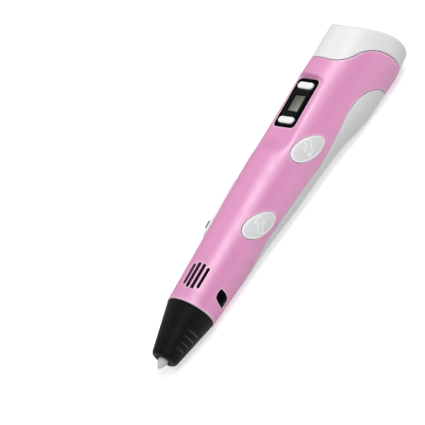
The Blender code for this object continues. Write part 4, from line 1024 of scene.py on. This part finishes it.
def screen_finish():
    """Liquid crystal pane: paler towards one corner, with faint rows of dots."""
    made = Finish("screen", 0.22, coat=0.3, specular=0.35)
    turned = made.mapped(turn=TILTED)
    middle = BEZEL_X - PEN.inverted().translation.x
    pale = 1.0
    for axis, start, end in (("Y", -0.0040, 0.0040), ("X", middle - 0.0060, middle + 0.0055)):
        part = made.node("ShaderNodeSeparateXYZ", {"Vector": turned}, axis)
        pale = made.math("MULTIPLY", pale, made.remap(part, 1.0, 0.0, start, end))
    made.colour(made.remap(pale, 0.0, 1.0, 0.0, 0.75), (0.040, 0.048, 0.040), (0.34, 0.35, 0.27))
    made.bump(made.node("ShaderNodeTexBrick", {"Scale": 900.0, "Vector": turned}, "Fac"), 0.000010)
    return made


FINISHES = {}


def finish(slot):
    if not FINISHES:
        FINISHES.update(make_finishes())
    return FINISHES[slot]


# Casing pieces

def half_seam(seam, start):
    """Near half of a seam as even places on the skin, from a start angle to the belly's middle line."""
    places = []
    for x, z in smooth_path(seam, SEAM_SPLITS):
        middle, tall, _ = section(x)
        if abs(z - middle) < tall:
            places.append(from_side(x, z))
    return even_path([(places[0][0], start)] + places + [(places[-1][0], pi)], SEAM_STEP)


def belly_loop():
    """Closed seam of the belly cover, as places on the skin."""
    half = half_seam(BELLY_SEAM, pi)
    return half + [(x, 2.0 * pi - angle) for x, angle in reversed(half[1:-1])]


def cap_ring():
    """Seam of the end cap, from under the pen up the slider's side and over to the keys."""
    half = half_seam(CAP_SEAM, 0.0)
    return [(x, -angle) for x, angle in reversed(half[1:])] + half[:-1]


def weld_line(x_from, x_to, angle):
    """Even steps along the belly's middle line, up to and with its far end."""
    count = max(2, round(abs(x_to - x_from) / WELD_STEP))
    return [(x_from + (x_to - x_from) * k / count, angle) for k in range(1, count)] + [(x_to, angle)]


def skin_grid(x_from, x_to, a_from, a_to):
    """Free points of the skin: close together where it bends, wider apart elsewhere."""
    grid = []
    x = x_from
    while x < x_to:
        angle = a_from
        while angle < a_to:
            grid.append((x, -angle * GIRTH))
            angle += TOP_TURN if abs(angle) < TOP_REACH else SIDE_TURN
        x += next((step for low, high, step in BEND_STEPS if low < x < high), GRID_STEP)
    return grid


def framed(outline, x, angle):
    """Outline laid on the skin round a place of it."""
    place = skin_frame(x, angle)
    return [from_frame(place, u, v) for u, v in outline]


def key_loop(place, grow):
    outline = ellipse(grown(KEY_SIZE, grow), count=96)
    return [from_side(x, z) for x, z in placed(outline, *place, KEY_TILT)]


def vent_loops(grow):
    """Outlines of the slots; their ends follow an arch in front and behind."""
    middle, tall, _ = section(VENT_X)
    for i in range(VENT_COUNT):
        share = i / (VENT_COUNT - 1)
        offset = (share - 0.5) * VENT_SPAN
        bow = sqrt(max(0.0, 1.0 - (offset / (VENT_SPAN * VENT_ARCH[0])) ** 2))
        long = VENT_LENGTH - 2 * (1.0 - bow) * VENT_SPAN * VENT_ARCH[1]
        wide = VENT_SLOT[0] + (VENT_SLOT[1] - VENT_SLOT[0]) * share
        outline = split_sides(stadium(grown((long, wide), grow), steps=5))
        yield framed(outline, VENT_X, VENT_ANGLE + offset / (middle + tall))


def body_surface(lip):
    """Pink skin with its openings, cut along the belly's middle line to lie flat."""
    belly = shifted(belly_loop(), lip)
    half = len(belly) // 2
    cap = shifted(cap_ring(), -lip, ring=True)
    front_x, rear_x = GRIP_X + FRONT_LIP, cap[0][0]
    belly_front, belly_rear = belly[0][0], belly[half][0]
    outline = [(front_x, pi * (2 * k / FRONT_COUNT - 1)) for k in range(FRONT_COUNT + 1)]
    lips = [FRONT_LIP] * len(outline)
    outline += weld_line(front_x, belly_front, pi) + belly[1:half] + [(belly_rear, pi)]
    outline += weld_line(belly_rear, rear_x, pi) + cap[:0:-1] + [(rear_x, -pi)]
    outline += weld_line(rear_x, belly_rear, -pi) + [(x, angle - 2.0 * pi) for x, angle in belly[half + 1:]]
    outline += [(belly_front, -pi)] + weld_line(belly_front, front_x, -pi)[:-1]
    lips += [lip] * (len(outline) - len(lips))
    grow = FIT + lip
    pocket = split_sides(round_box(grown(BEZEL_SIZE, grow), BEZEL_CORNER + grow))
    holes = [[(BEZEL_X + u, asin(-v / section(BEZEL_X + u)[2])) for u, v in pocket]]
    holes += [key_loop(place, KEY_GAP + lip) for place in (FEED_KEY, RETRACT_KEY)]
    slot = split_sides(stadium(grown(SLIDER_PLATE, grow), steps=12))
    holes.append(framed(slot, SLIDER_X, SLIDER_ANGLE))
    eye = placed(leaf(grown(LENS_SIZE, grow)), angle=LENS_TILT)
    holes.append(framed(eye, LENS_X, LENS_ANGLE))
    holes += list(vent_loops(lip))
    loops = [unroll(loop) for loop in [outline] + holes]
    return patch(loops, skin_grid(*BODY_GRID), on_skin, [lips] + [lip] * len(holes))


def cover_surface(lip):
    """White belly cover with the wells of its screws."""
    loops = [unroll(shifted(belly_loop(), -(FIT + lip)))]
    for x, y in COVER_SCREWS:
        well = circle(SCREW_HEAD_R + FIT + lip, count=40)
        loops.append(unroll((x + u, pi + asin((y + v) / section(x + u)[2])) for u, v in well))
    return patch(loops, skin_grid(*COVER_GRID), on_skin, [lip] * len(loops))


def cap_place(u, v):
    """Point of the end cap: the rear face in the middle, then its round edge, then its side."""
    reach, angle = hypot(u, v), atan2(v, u)
    edge = REAR_X - EDGE_ROUND
    if reach >= CAP_BEND_R:
        return skin(edge - (reach - CAP_BEND_R), angle)
    lean = min((CAP_BEND_R - reach) / EDGE_ROUND, CAP_BEND)
    bent = skin(edge + EDGE_ROUND * sin(lean), angle, EDGE_ROUND * (1.0 - cos(lean)))
    if reach >= CAP_FACE_R:
        return bent
    middle = section(REAR_X)[0]
    share = reach / CAP_FACE_R
    z = middle + (bent.z - middle) * share
    rise = EDGE_ROUND * (1.0 - sin(CAP_BEND))
    return Vector((REAR_X - rise - rear_crown(z), bent.y * share, z))


def cap_spot(y, z):
    """Place on the cap's unrolled face of a point seen from behind."""
    middle, tall, half = section(REAR_X)
    inset = EDGE_ROUND * (1.0 - cos(CAP_BEND))
    return CAP_FACE_R * (z - middle) / (tall - inset), CAP_FACE_R * -y / (half - inset)


def cap_surface(lip):
    """White end cap with the openings of the inlet and the socket."""
    outline = []
    for x, angle in shifted(cap_ring(), FIT + lip, ring=True):
        reach = CAP_BEND_R + REAR_X - EDGE_ROUND - x
        outline.append((reach * cos(angle), reach * sin(angle)))
    loops = [outline]
    for radius, z in ((INLET_HOLE_R, 0.0), (JACK_HOLE_R, JACK_Z)):
        loops.append([cap_spot(v, z + u) for u, v in circle(radius + 2 * lip, count=48)])
    grid = []
    reach = CAP_STEP / 2
    while reach < CAP_GRID_REACH:
        count = max(6, round(2.0 * pi * reach / CAP_STEP))
        for k in range(count):
            turn = 2.0 * pi * (k + 0.5) / count
            grid.append((reach * cos(turn), reach * sin(turn)))
        bends = CAP_FACE_R - CAP_BEND_MARGIN < reach < CAP_BEND_R + CAP_BEND_MARGIN
        reach += CAP_BEND_STEP if bends else CAP_STEP
    return patch(loops, grid, cap_place, [lip, 2 * lip, 2 * lip])


class PEN_OT_casing(bpy.types.Operator):
    """Pink upper casing, white belly cover and white end cap, with soft edges along their seams"""
    bl_idname = "pen.casing"
    bl_label = "Casing"

    def execute(self, context):
        lip = context.scene.pen_casing.lip
        for name, surface, wall, slot, node in (
                ("casing_body", body_surface, WALL, "pink_casing", "body_shell"),
                ("casing_belly", cover_surface, COVER_WALL, "white_casing", "belly_cover"),
                ("casing_cap", cap_surface, CAP_WALL, "white_casing", "end_cap")):
            add_piece(name, thicken(surface(lip), wall), slot, [node])
        return {"FINISHED"}


# Nose

def cone_radius(x):
    share = (x - CONE_FRONT_X) / (GRIP_X - CONE_FRONT_X)
    return CONE_FRONT_R + CONE_ROUND + (CONE_BASE_R - CONE_FRONT_R - CONE_ROUND) * share


def nose_profile():
    """The cone from the end of its spigot, over its outside to the front face and back through its bore."""
    base, back = GRIP_X - FIT, GRIP_X + SPIGOT_LONG
    spigot, lip = GRIP_R - WALL - FIT, CONE_BASE_LIP
    profile = [(back, spigot), (base, spigot), (base, CONE_BASE_R - lip)]
    profile += [(base - lip, CONE_BASE_R - lip, lip, 0, 80, 4)]
    for k in range(CONE_STEPS):
        x = base - CONE_START - CONE_STEP * k
        profile.append((x, cone_radius(x)))
    profile += CONE_FACE
    return profile + [(base, spigot - SPIGOT_WALL), (back, spigot - SPIGOT_WALL)]


def rib_copies(look):
    """Low ribs round the key side of the cone, finer towards the tip."""
    first = GRIP_X - RIB_START
    start, last = [cone_radius(first - i * look.pitch) - RIB_SINK for i in (0, look.ribs - 1)]
    copies = Copies("grip_ribs")
    count, pitch, radius, taper, rib, span, middle = copies.given(
        Count=look.ribs, Pitch=look.pitch, First_Radius=start, Taper=(start - last) / (look.ribs - 1),
        Rib_Radius=look.rib, Span=RIB_SPAN, Middle=RIB_ANGLE)
    begin = copies.math("SUBTRACT", middle, copies.math("MULTIPLY", span, 0.5))
    bow = copies.node("GeometryNodeCurveArc", {
        "Resolution": 48, "Radius": 1.0, "Start Angle": begin, "Sweep Angle": span})
    ring = copies.node("GeometryNodeCurvePrimitiveCircle", {
        "Resolution": 16, "Radius": copies.math("DIVIDE", rib, radius)})
    share = copies.node("GeometryNodeSplineParameter")
    swell = copies.math("SINE", copies.math("MULTIPLY", share, pi))
    swell = copies.math("POWER", copies.math("MAXIMUM", swell, RIB_END_LEAST), RIB_END_POWER)
    bar = copies.node("GeometryNodeCurveToMesh", {
        "Curve": bow, "Profile Curve": ring, "Scale": swell, "Fill Caps": True})
    stand = copies.node("GeometryNodeTransform", {"Geometry": bar, "Rotation": (pi, -pi / 2, 0.0)})
    row = copies.row(count, pitch, -1.0, first)
    drop = copies.math("MULTIPLY", copies.node("GeometryNodeInputIndex"), taper)
    return copies.mesh(row, stand, finish("rib_highlight_black"), copies.math("SUBTRACT", radius, drop))


class PEN_OT_nose(bpy.types.Operator):
    """Black nose cone with its grip ribs, and the ceramic nozzle"""
    bl_idname = "pen.nose"
    bl_label = "Nose"

    def execute(self, context):
        add_piece("nose_cone_skin", lathe(nose_profile(), steps=120), "black_nose", ["nose_cone"], sharp=40.0)
        add_mesh("grip_ribs", rib_copies(context.scene.pen_nose), "black_nose", look="rib_highlight_black")
        add_piece("nozzle_tip", lathe(NOZZLE, steps=64), "ceramic", ["nozzle"], sharp=35.0)
        return {"FINISHED"}


# Display

def on_deck(size, corner, steps, offset=0.0):
    """Rounded outline on the display deck, ahead of or behind the middle of the bezel."""
    return placed(round_box(size, corner, steps), BEZEL_X + offset)


def paint_rim(shape, share):
    """Write how much of each point takes a key's brighter rim colour, which on the large keys is a painted
    highlight.
    """
    layer = shape.verts.layers.float.new("rim")
    for vert in shape.verts:
        vert[layer] = share(vert.co)


class PEN_OT_display(bpy.types.Operator):
    """Black bezel with its dark inner panel, the screen and the two long keys beside it"""
    bl_idname = "pen.display"
    bl_label = "Display"

    def execute(self, context):
        keys = (("rear", PILL_OFFSET), ("front", -PILL_OFFSET))
        holes = [on_deck(grown(GLASS_WINDOW, BEZEL_LIP), WINDOW_CORNER, steps=5)]
        for _, offset in keys:
            holes.append(on_deck(grown(PILL_SIZE, FIT + BEZEL_LIP), PILL_HOLE_CORNER, PILL_STEPS, offset))
        outline = on_deck(grown(BEZEL_SIZE, -BEZEL_LIP), BEZEL_CORNER - BEZEL_LIP, steps=8)
        bezel = plate(outline, holes, BEZEL_TOP, BEZEL_LIP, BEZEL_WALL)
        add_piece("display_frame", bezel, "black_bezel", ["display_bezel"])
        outline = on_deck(PANEL_SIZE, PANEL_CORNER, steps=5)
        window = on_deck(grown(GLASS_WINDOW, PANEL_GAP), PANEL_WINDOW_CORNER, steps=5)
        panel = plate(outline, [window], BEZEL_TOP + PANEL_PROUD, PANEL_PROUD, PANEL_WALL)
        add_piece("display_panel", panel, "black_bezel", look="black_panel")
        outline = on_deck(grown(GLASS_WINDOW, -PANE_GAP), PANE_CORNER, steps=4)
        screen = plate(outline, [], BEZEL_TOP - PANE_DROP, PANE_LIP, PANE_WALL)
        add_piece("display_screen", screen, "display_glass", ["display_glass"])
        for name, offset in keys:
            outline = on_deck(grown(PILL_SIZE, -PILL_LIP), PILL_CORNER, PILL_STEPS, offset)
            key = plate(outline, [], BEZEL_TOP + PILL_PROUD, PILL_LIP, PILL_WALL)
            paint_rim(key, lambda spot: 1.0)
            body = name + "_display_key"
            add_piece("display_key_" + name, key, "key_white", ["display_button_" + name], body)
        return {"FINISHED"}


# Large keys

def key_depth(place, x, z):
    """Distance inside the outline of a key, as seen from its side."""
    u, v = placed([(x - place[0], z - place[1])], angle=-KEY_TILT)[0]
    a, b = KEY_SIZE[0] / 2, KEY_SIZE[1] / 2
    reach = max(hypot(u / a, v / b), TINY)
    return (1.0 - reach) * reach / max(hypot(u / a ** 2, v / b ** 2), TINY)


def key_place(place, lift=0.0):
    """Surface of a key: a raised rim round a dished and slightly crowned face."""
    def put(u, v):
        depth = key_depth(place, u, v)
        height = KEY_PROUD - KEY_DISH * smooth_step(depth, KEY_RIM, KEY_RIM + KEY_SLOPE)
        height += KEY_CROWN * smooth_step(depth, 0.0, KEY_CROWN_REACH)
        return raised(*from_side(u, v), height + lift)
    return put


def key_surface(place):
    def ring(inset, count):
        return placed(ellipse(grown(KEY_SIZE, -inset), count), *place, KEY_TILT)

    grid = [place]
    for i in range(1, KEY_RINGS):
        grid += ring(KEY_LIP + KEY_RING_STEP * i, max(8, KEY_COUNT - 4 * i))
    surface = patch([ring(KEY_LIP, KEY_COUNT)], grid, key_place(place), [KEY_LIP], KEY_CLEAR)
    shape = thicken(surface, KEY_WALL)
    # The raised rim is painted brighter as a highlight.
    paint_rim(shape, lambda spot: 1.0 - smooth_step(key_depth(place, spot.x, spot.z), *KEY_RIM_HIGHLIGHT))
    return shape


def arrow_surface(place, turn, height):
    loops = []
    for inset in (ARROW_LIP, ARROW_LINE - ARROW_LIP):
        loops.append(placed(split_sides(shrink(ARROW, inset), ARROW_STEP), *place, turn))
    surface = patch(loops, (), key_place(place, height), [ARROW_LIP, ARROW_LIP])
    return thicken(surface, height + ARROW_SUNK)


class PEN_OT_side_keys(bpy.types.Operator):
    """The two oval keys that feed and draw back the filament, with plain raised arrows"""
    bl_idname = "pen.side_keys"
    bl_label = "Side keys"

    def execute(self, context):
        height = context.scene.pen_keys.arrow
        for name, place, turn in (
                ("feed", FEED_KEY, ARROW_LEAN + pi), ("retract", RETRACT_KEY, ARROW_LEAN)):
            body = name + "_key"
            add_piece(body + "_face", key_surface(place), "key_white", [name + "_button"], body, sharp=60.0)
            arrow = arrow_surface(place, turn, height)
            # The arrow takes the brighter rim colour as a painted highlight.
            paint_rim(arrow, lambda spot: 1.0)
            add_piece(body + "_arrow", arrow, "key_white", body=body)
        return {"FINISHED"}


# Slider, indicator and rear end

def ridge_copies():
    """Straight ridges across the slider's knob."""
    copies = Copies("knob_ridges")
    count, pitch, radius, length = copies.given(
        Count=RIDGE_COUNT, Pitch=RIDGE_PITCH, Radius=RIDGE_R, Length=RIDGE_LENGTH)
    bar = copies.node("GeometryNodeMeshCylinder", {"Vertices": 20, "Radius": radius, "Depth": length})
    lay = copies.node("GeometryNodeTransform", {"Geometry": bar, "Rotation": (pi / 2, 0.0, 0.0)})
    return copies.mesh(copies.row(count, pitch, 1.0, RIDGE_START), lay, finish("knob_grey"))


class PEN_OT_slider(bpy.types.Operator):
    """White plate of the speed slider with its slot, and the ridged knob"""
    bl_idname = "pen.slider"
    bl_label = "Speed slider"

    def execute(self, context):
        place = skin_frame(SLIDER_X, SLIDER_ANGLE)
        slot = placed(round_box(grown(SLOT_SIZE, SLIDER_LIP), SLOT_CORNER + SLIDER_LIP, steps=5), SLOT_MIDDLE)
        outline = stadium(grown(SLIDER_PLATE, -SLIDER_LIP), steps=16)
        cover = plate(outline, [slot], SLIDER_PROUD, SLIDER_LIP, SLIDER_WALL)
        cover.transform(place)
        add_piece("slider_cover", cover, "white_casing", ["slider_plate"], look="slider_white")
        outline = placed(round_box(grown(KNOB_SIZE, -KNOB_LIP), KNOB_CORNER), SLIDER_REST)
        knob = plate(outline, [], KNOB_TOP, KNOB_LIP, KNOB_TALL)
        knob.transform(place)
        add_piece("slider_knob", knob, "knob_grey", ["speed_slider"], "speed_knob")
        ridges = ridge_copies()
        ridges.transform(place @ Matrix.Translation((SLIDER_REST, 0.0, KNOB_TOP)))
        add_mesh("knob_ridges", ridges, "knob_grey", body="speed_knob")
        return {"FINISHED"}


class PEN_OT_indicator(bpy.types.Operator):
    """Dark almond lens over the indicator lamp"""
    bl_idname = "pen.indicator"
    bl_label = "Indicator lens"

    def execute(self, context):
        place = skin_frame(LENS_X, LENS_ANGLE)

        def dome(u, v):
            share = max(0.0, 1.0 - (2 * u / LENS_SIZE[0]) ** 2 - (2 * v / LENS_SIZE[1]) ** 2)
            return raised(*from_frame(place, u, v), LENS_RISE * share - LENS_SUNK)

        size = grown(LENS_SIZE, -LENS_LIP)
        grid = []
        for k in range(1, LENS_RINGS):
            grid += leaf((size[0] * k / LENS_RINGS, size[1] * k / LENS_RINGS), steps=3 + 2 * k)
        outline, grid = [placed(points, angle=LENS_TILT) for points in (leaf(size, steps=20), grid)]
        eye = thicken(patch([outline], grid, dome, [LENS_LIP]), LENS_WALL)
        add_piece("indicator_eye", eye, "dark_lens", ["indicator_lens"])
        return {"FINISHED"}


class PEN_OT_rear_end(bpy.types.Operator):
    """Brass filament inlet and the supply socket with its pin"""
    bl_idname = "pen.rear_end"
    bl_label = "Rear end"

    def execute(self, context):
        inlet = Matrix.Translation((INLET_FACE_X, 0.0, 0.0))
        jack = Matrix.Translation((JACK_FACE_X, 0.0, JACK_Z))
        bush = lathe(INLET, steps=48, place=inlet)
        add_piece("inlet_bush", bush, "brass", ["filament_inlet"], sharp=30.0)
        barrel = lathe(SOCKET, steps=56, place=jack)
        add_piece("socket_barrel", barrel, "switch_black", ["dc_jack"], sharp=30.0)
        add_piece("socket_pin", lathe(SOCKET_PIN, steps=40, place=jack), "steel", sharp=40.0)
        return {"FINISHED"}


# Screws and inner pieces

def head_height(u, v):
    """Height of a screw head over its seat, with the cross cut into it."""
    share = min(hypot(u, v) / SCREW_HEAD_R, 1.0)
    rise = SCREW_HEAD * (1.0 - HEAD_DOME + HEAD_DOME * sqrt(1.0 - share ** HEAD_POWER))
    near, far = sorted((abs(u), abs(v)))
    slim = smooth_step(CROSS_HALF - near, 0.0, CROSS_SLOPE[0])
    return rise - CROSS_DEPTH * slim * smooth_step(CROSS_REACH - far, 0.0, CROSS_SLOPE[1])


def screw_shape():
    """Round head with a cross recess, below a seat at the origin, and its shank above."""
    shape = bmesh.new()
    rows = [(SCREW_R, SCREW_LONG), (SCREW_R, 0.0), (SCREW_HEAD_R, 0.0)]
    rows += [(SCREW_HEAD_R * (1.0 - k / SCREW_STEPS), None) for k in range(SCREW_STEPS)]
    rings = []
    for radius, z in rows:
        ring = []
        for u, v in circle(radius, SCREW_COUNT):
            ring.append(shape.verts.new((u, v, -head_height(u, v) if z is None else z)))
        rings.append(ring)
    join_rings(shape, rings, SCREW_COUNT)
    shape.faces.new(rings[0])
    shape.faces.new(rings[-1])
    bmesh.ops.recalc_face_normals(shape, faces=shape.faces)
    return shape


def head_seat(x, y):
    middle, tall, half = section(x)
    return (middle - tall) * sqrt(1.0 - (y / half) ** 2) + 2 * SCREW_HEAD - 2 * FIT


def screw_copies():
    """A screw at each of the cover's screw places."""
    pattern = bpy.data.objects.new("screw_pattern", bpy.data.meshes.new("screw_pattern"))
    shape = screw_shape()
    shape.to_mesh(pattern.data)
    shape.free()
    points = bpy.data.meshes.new("screw_points")
    points.from_pydata([(x, y, head_seat(x, y)) for x, y in COVER_SCREWS], [], [])
    copies = Copies("cover_screws", points)
    size = copies.given(Size=1.0)[0]
    screw = copies.node("GeometryNodeObjectInfo", {"Object": pattern}, "Geometry")
    mesh = copies.mesh(copies.node("NodeGroupInput", output="Points"), screw, finish("steel"), size)
    bpy.data.objects.remove(pattern)
    return mesh


class PEN_OT_fasteners(bpy.types.Operator):
    """Cross-head screws sunk into the belly cover"""
    bl_idname = "pen.fasteners"
    bl_label = "Cover screws"

    def execute(self, context):
        add_mesh("cover_screw_heads", screw_copies(), "steel", ["cover_screw_1", "cover_screw_2"])
        return {"FINISHED"}


class PEN_OT_inner_finishes(bpy.types.Operator):
    """Finishes of the drive, hot end, boards, leads and screws inside the casing"""
    bl_idname = "pen.inner_finishes"
    bl_label = "Inner finishes"

    def execute(self, context):
        slots = {row["node"]: row["material_slot"] for row in frame["record"]["subparts"]}
        for name, node in frame["nodes"].items():
            material = finish(slots[name])
            if not node.data.materials:
                node.data.materials.append(material)
            for slot in node.material_slots:
                slot.material = material
        return {"FINISHED"}


# Stage

def add_lamp(name, place, aim, size, power):
    lamp = bpy.data.lights.new(name, "AREA")
    lamp.shape = "RECTANGLE"
    lamp.size, lamp.size_y = size
    lamp.energy = power
    holder = add_object(name, lamp)
    holder.location = place
    holder.rotation_euler = (aim - place).to_track_quat("-Z", "Y").to_euler()


def add_camera(look):
    """Camera at the angle of the photograph; gives the point in the middle of its view."""
    back = VIEW.normalized()
    along = (Vector((1.0, 0.0, 0.0)) - back * back.x).normalized()
    across = along.cross(back)
    right = along * ROLL[0] + across * ROLL[1]
    up = along * ROLL[1] - across * ROLL[0]
    middle = along * VIEW_MIDDLE[0] + across * VIEW_MIDDLE[1]
    camera = bpy.data.cameras.new("camera")
    camera.sensor_fit = "HORIZONTAL"
    camera.sensor_width = SENSOR
    camera.lens = SENSOR * look.distance / look.across
    camera.clip_start, camera.clip_end = CLIP
    holder = add_object("camera", camera)
    axes = Matrix((right, up, back)).transposed().to_4x4()
    holder.matrix_world = PEN @ Matrix.Translation(middle + back * look.distance) @ axes
    bpy.context.scene.camera = holder
    return PEN @ middle


def floor_material(colour):
    """Floor that holds shadows, with a glow that makes it white to the camera and in reflections."""
    made = Finish("floor", 0.9, specular=0.0)
    made.colour(made.noise(6.0), tinted(colour, 0.995), tinted(colour, 1.005))
    seen = 0.0
    for ray in ("Is Camera Ray", "Is Glossy Ray", "Is Transmission Ray"):
        seen = made.math("MAXIMUM", seen, made.node("ShaderNodeLightPath", output=ray))
    glow = made.math("MULTIPLY", seen, FLOOR_GLOW)
    made.fill(made.shader, {"Emission Color": WHITE, "Emission Strength": glow})
    return made.material


class PEN_OT_stage(bpy.types.Operator):
    """White floor, soft lamps and the camera at the angle of the photograph"""
    bl_idname = "pen.stage"
    bl_label = "Stage"

    def execute(self, context):
        scene = context.scene
        look = scene.pen_stage
        scene.view_settings.view_transform = "Standard"
        floor = bpy.data.meshes.new("floor")
        corners = [(u * FLOOR_HALF, v * FLOOR_HALF, FLOOR_Z) for u, v in QUARTERS]
        floor.from_pydata(corners, [], [range(len(corners))])
        floor.materials.append(floor_material(look.floor))
        ground = add_object("floor", floor)
        world = scene.world or bpy.data.worlds.new("studio")
        scene.world = world
        world.use_nodes = True
        sky = world.node_tree.nodes["Background"]
        sky.inputs["Color"].default_value = WHITE
        sky.inputs["Strength"].default_value = SKY
        middle = add_camera(look)
        turn = PEN.to_3x3()
        key_way = turn @ Vector(KEY_LAMP_WAY)
        add_lamp("key_lamp", middle + key_way * KEY_LAMP_AWAY, middle, KEY_LAMP_SIZE, look.key_light)
        top_place = middle + turn @ Vector(TOP_LAMP_PLACE)
        add_lamp("top_lamp", top_place, middle, TOP_LAMP_SIZE, TOP_LAMP_POWER)
        return {"FINISHED"}


class PEN_PT_panel(bpy.types.Panel):
    """Buttons that build the pen, piece by piece"""
    bl_idname = "PEN_PT_panel"
    bl_label = "Filament pen"
    bl_space_type = "VIEW_3D"
    bl_region_type = "UI"
    bl_category = "Pen"

    def draw(self, context):
        column = self.layout.column()
        for operator in OPERATORS:
            column.operator(operator.bl_idname)
        for name in LOOKS:
            group = getattr(context.scene, name)
            for key in group.__annotations__:
                column.prop(group, key)


OPERATORS = (
    PEN_OT_casing, PEN_OT_nose, PEN_OT_display, PEN_OT_side_keys, PEN_OT_slider, PEN_OT_indicator,
    PEN_OT_rear_end, PEN_OT_fasteners, PEN_OT_inner_finishes, PEN_OT_stage,
)
LOOKS = {"pen_casing": CasingLook, "pen_nose": NoseLook, "pen_keys": KeyLook, "pen_stage": StageLook}


def register():
    for name, group in LOOKS.items():
        bpy.utils.register_class(group)
        setattr(bpy.types.Scene, name, PointerProperty(type=group))
    for operator in OPERATORS + (PEN_PT_panel,):
        bpy.utils.register_class(operator)


def unregister():
    for operator in reversed(OPERATORS + (PEN_PT_panel,)):
        bpy.utils.unregister_class(operator)
    for name, group in LOOKS.items():
        delattr(bpy.types.Scene, name)
        bpy.utils.unregister_class(group)


def main():
    register()
    bpy.ops.pen.casing()
    bpy.ops.pen.nose()
    bpy.ops.pen.display()
    bpy.ops.pen.side_keys()
    bpy.ops.pen.slider()
    bpy.ops.pen.indicator()
    bpy.ops.pen.rear_end()
    bpy.ops.pen.fasteners()
    bpy.ops.pen.inner_finishes()
    bpy.ops.pen.stage()


if __name__ == "__main__":
    main()
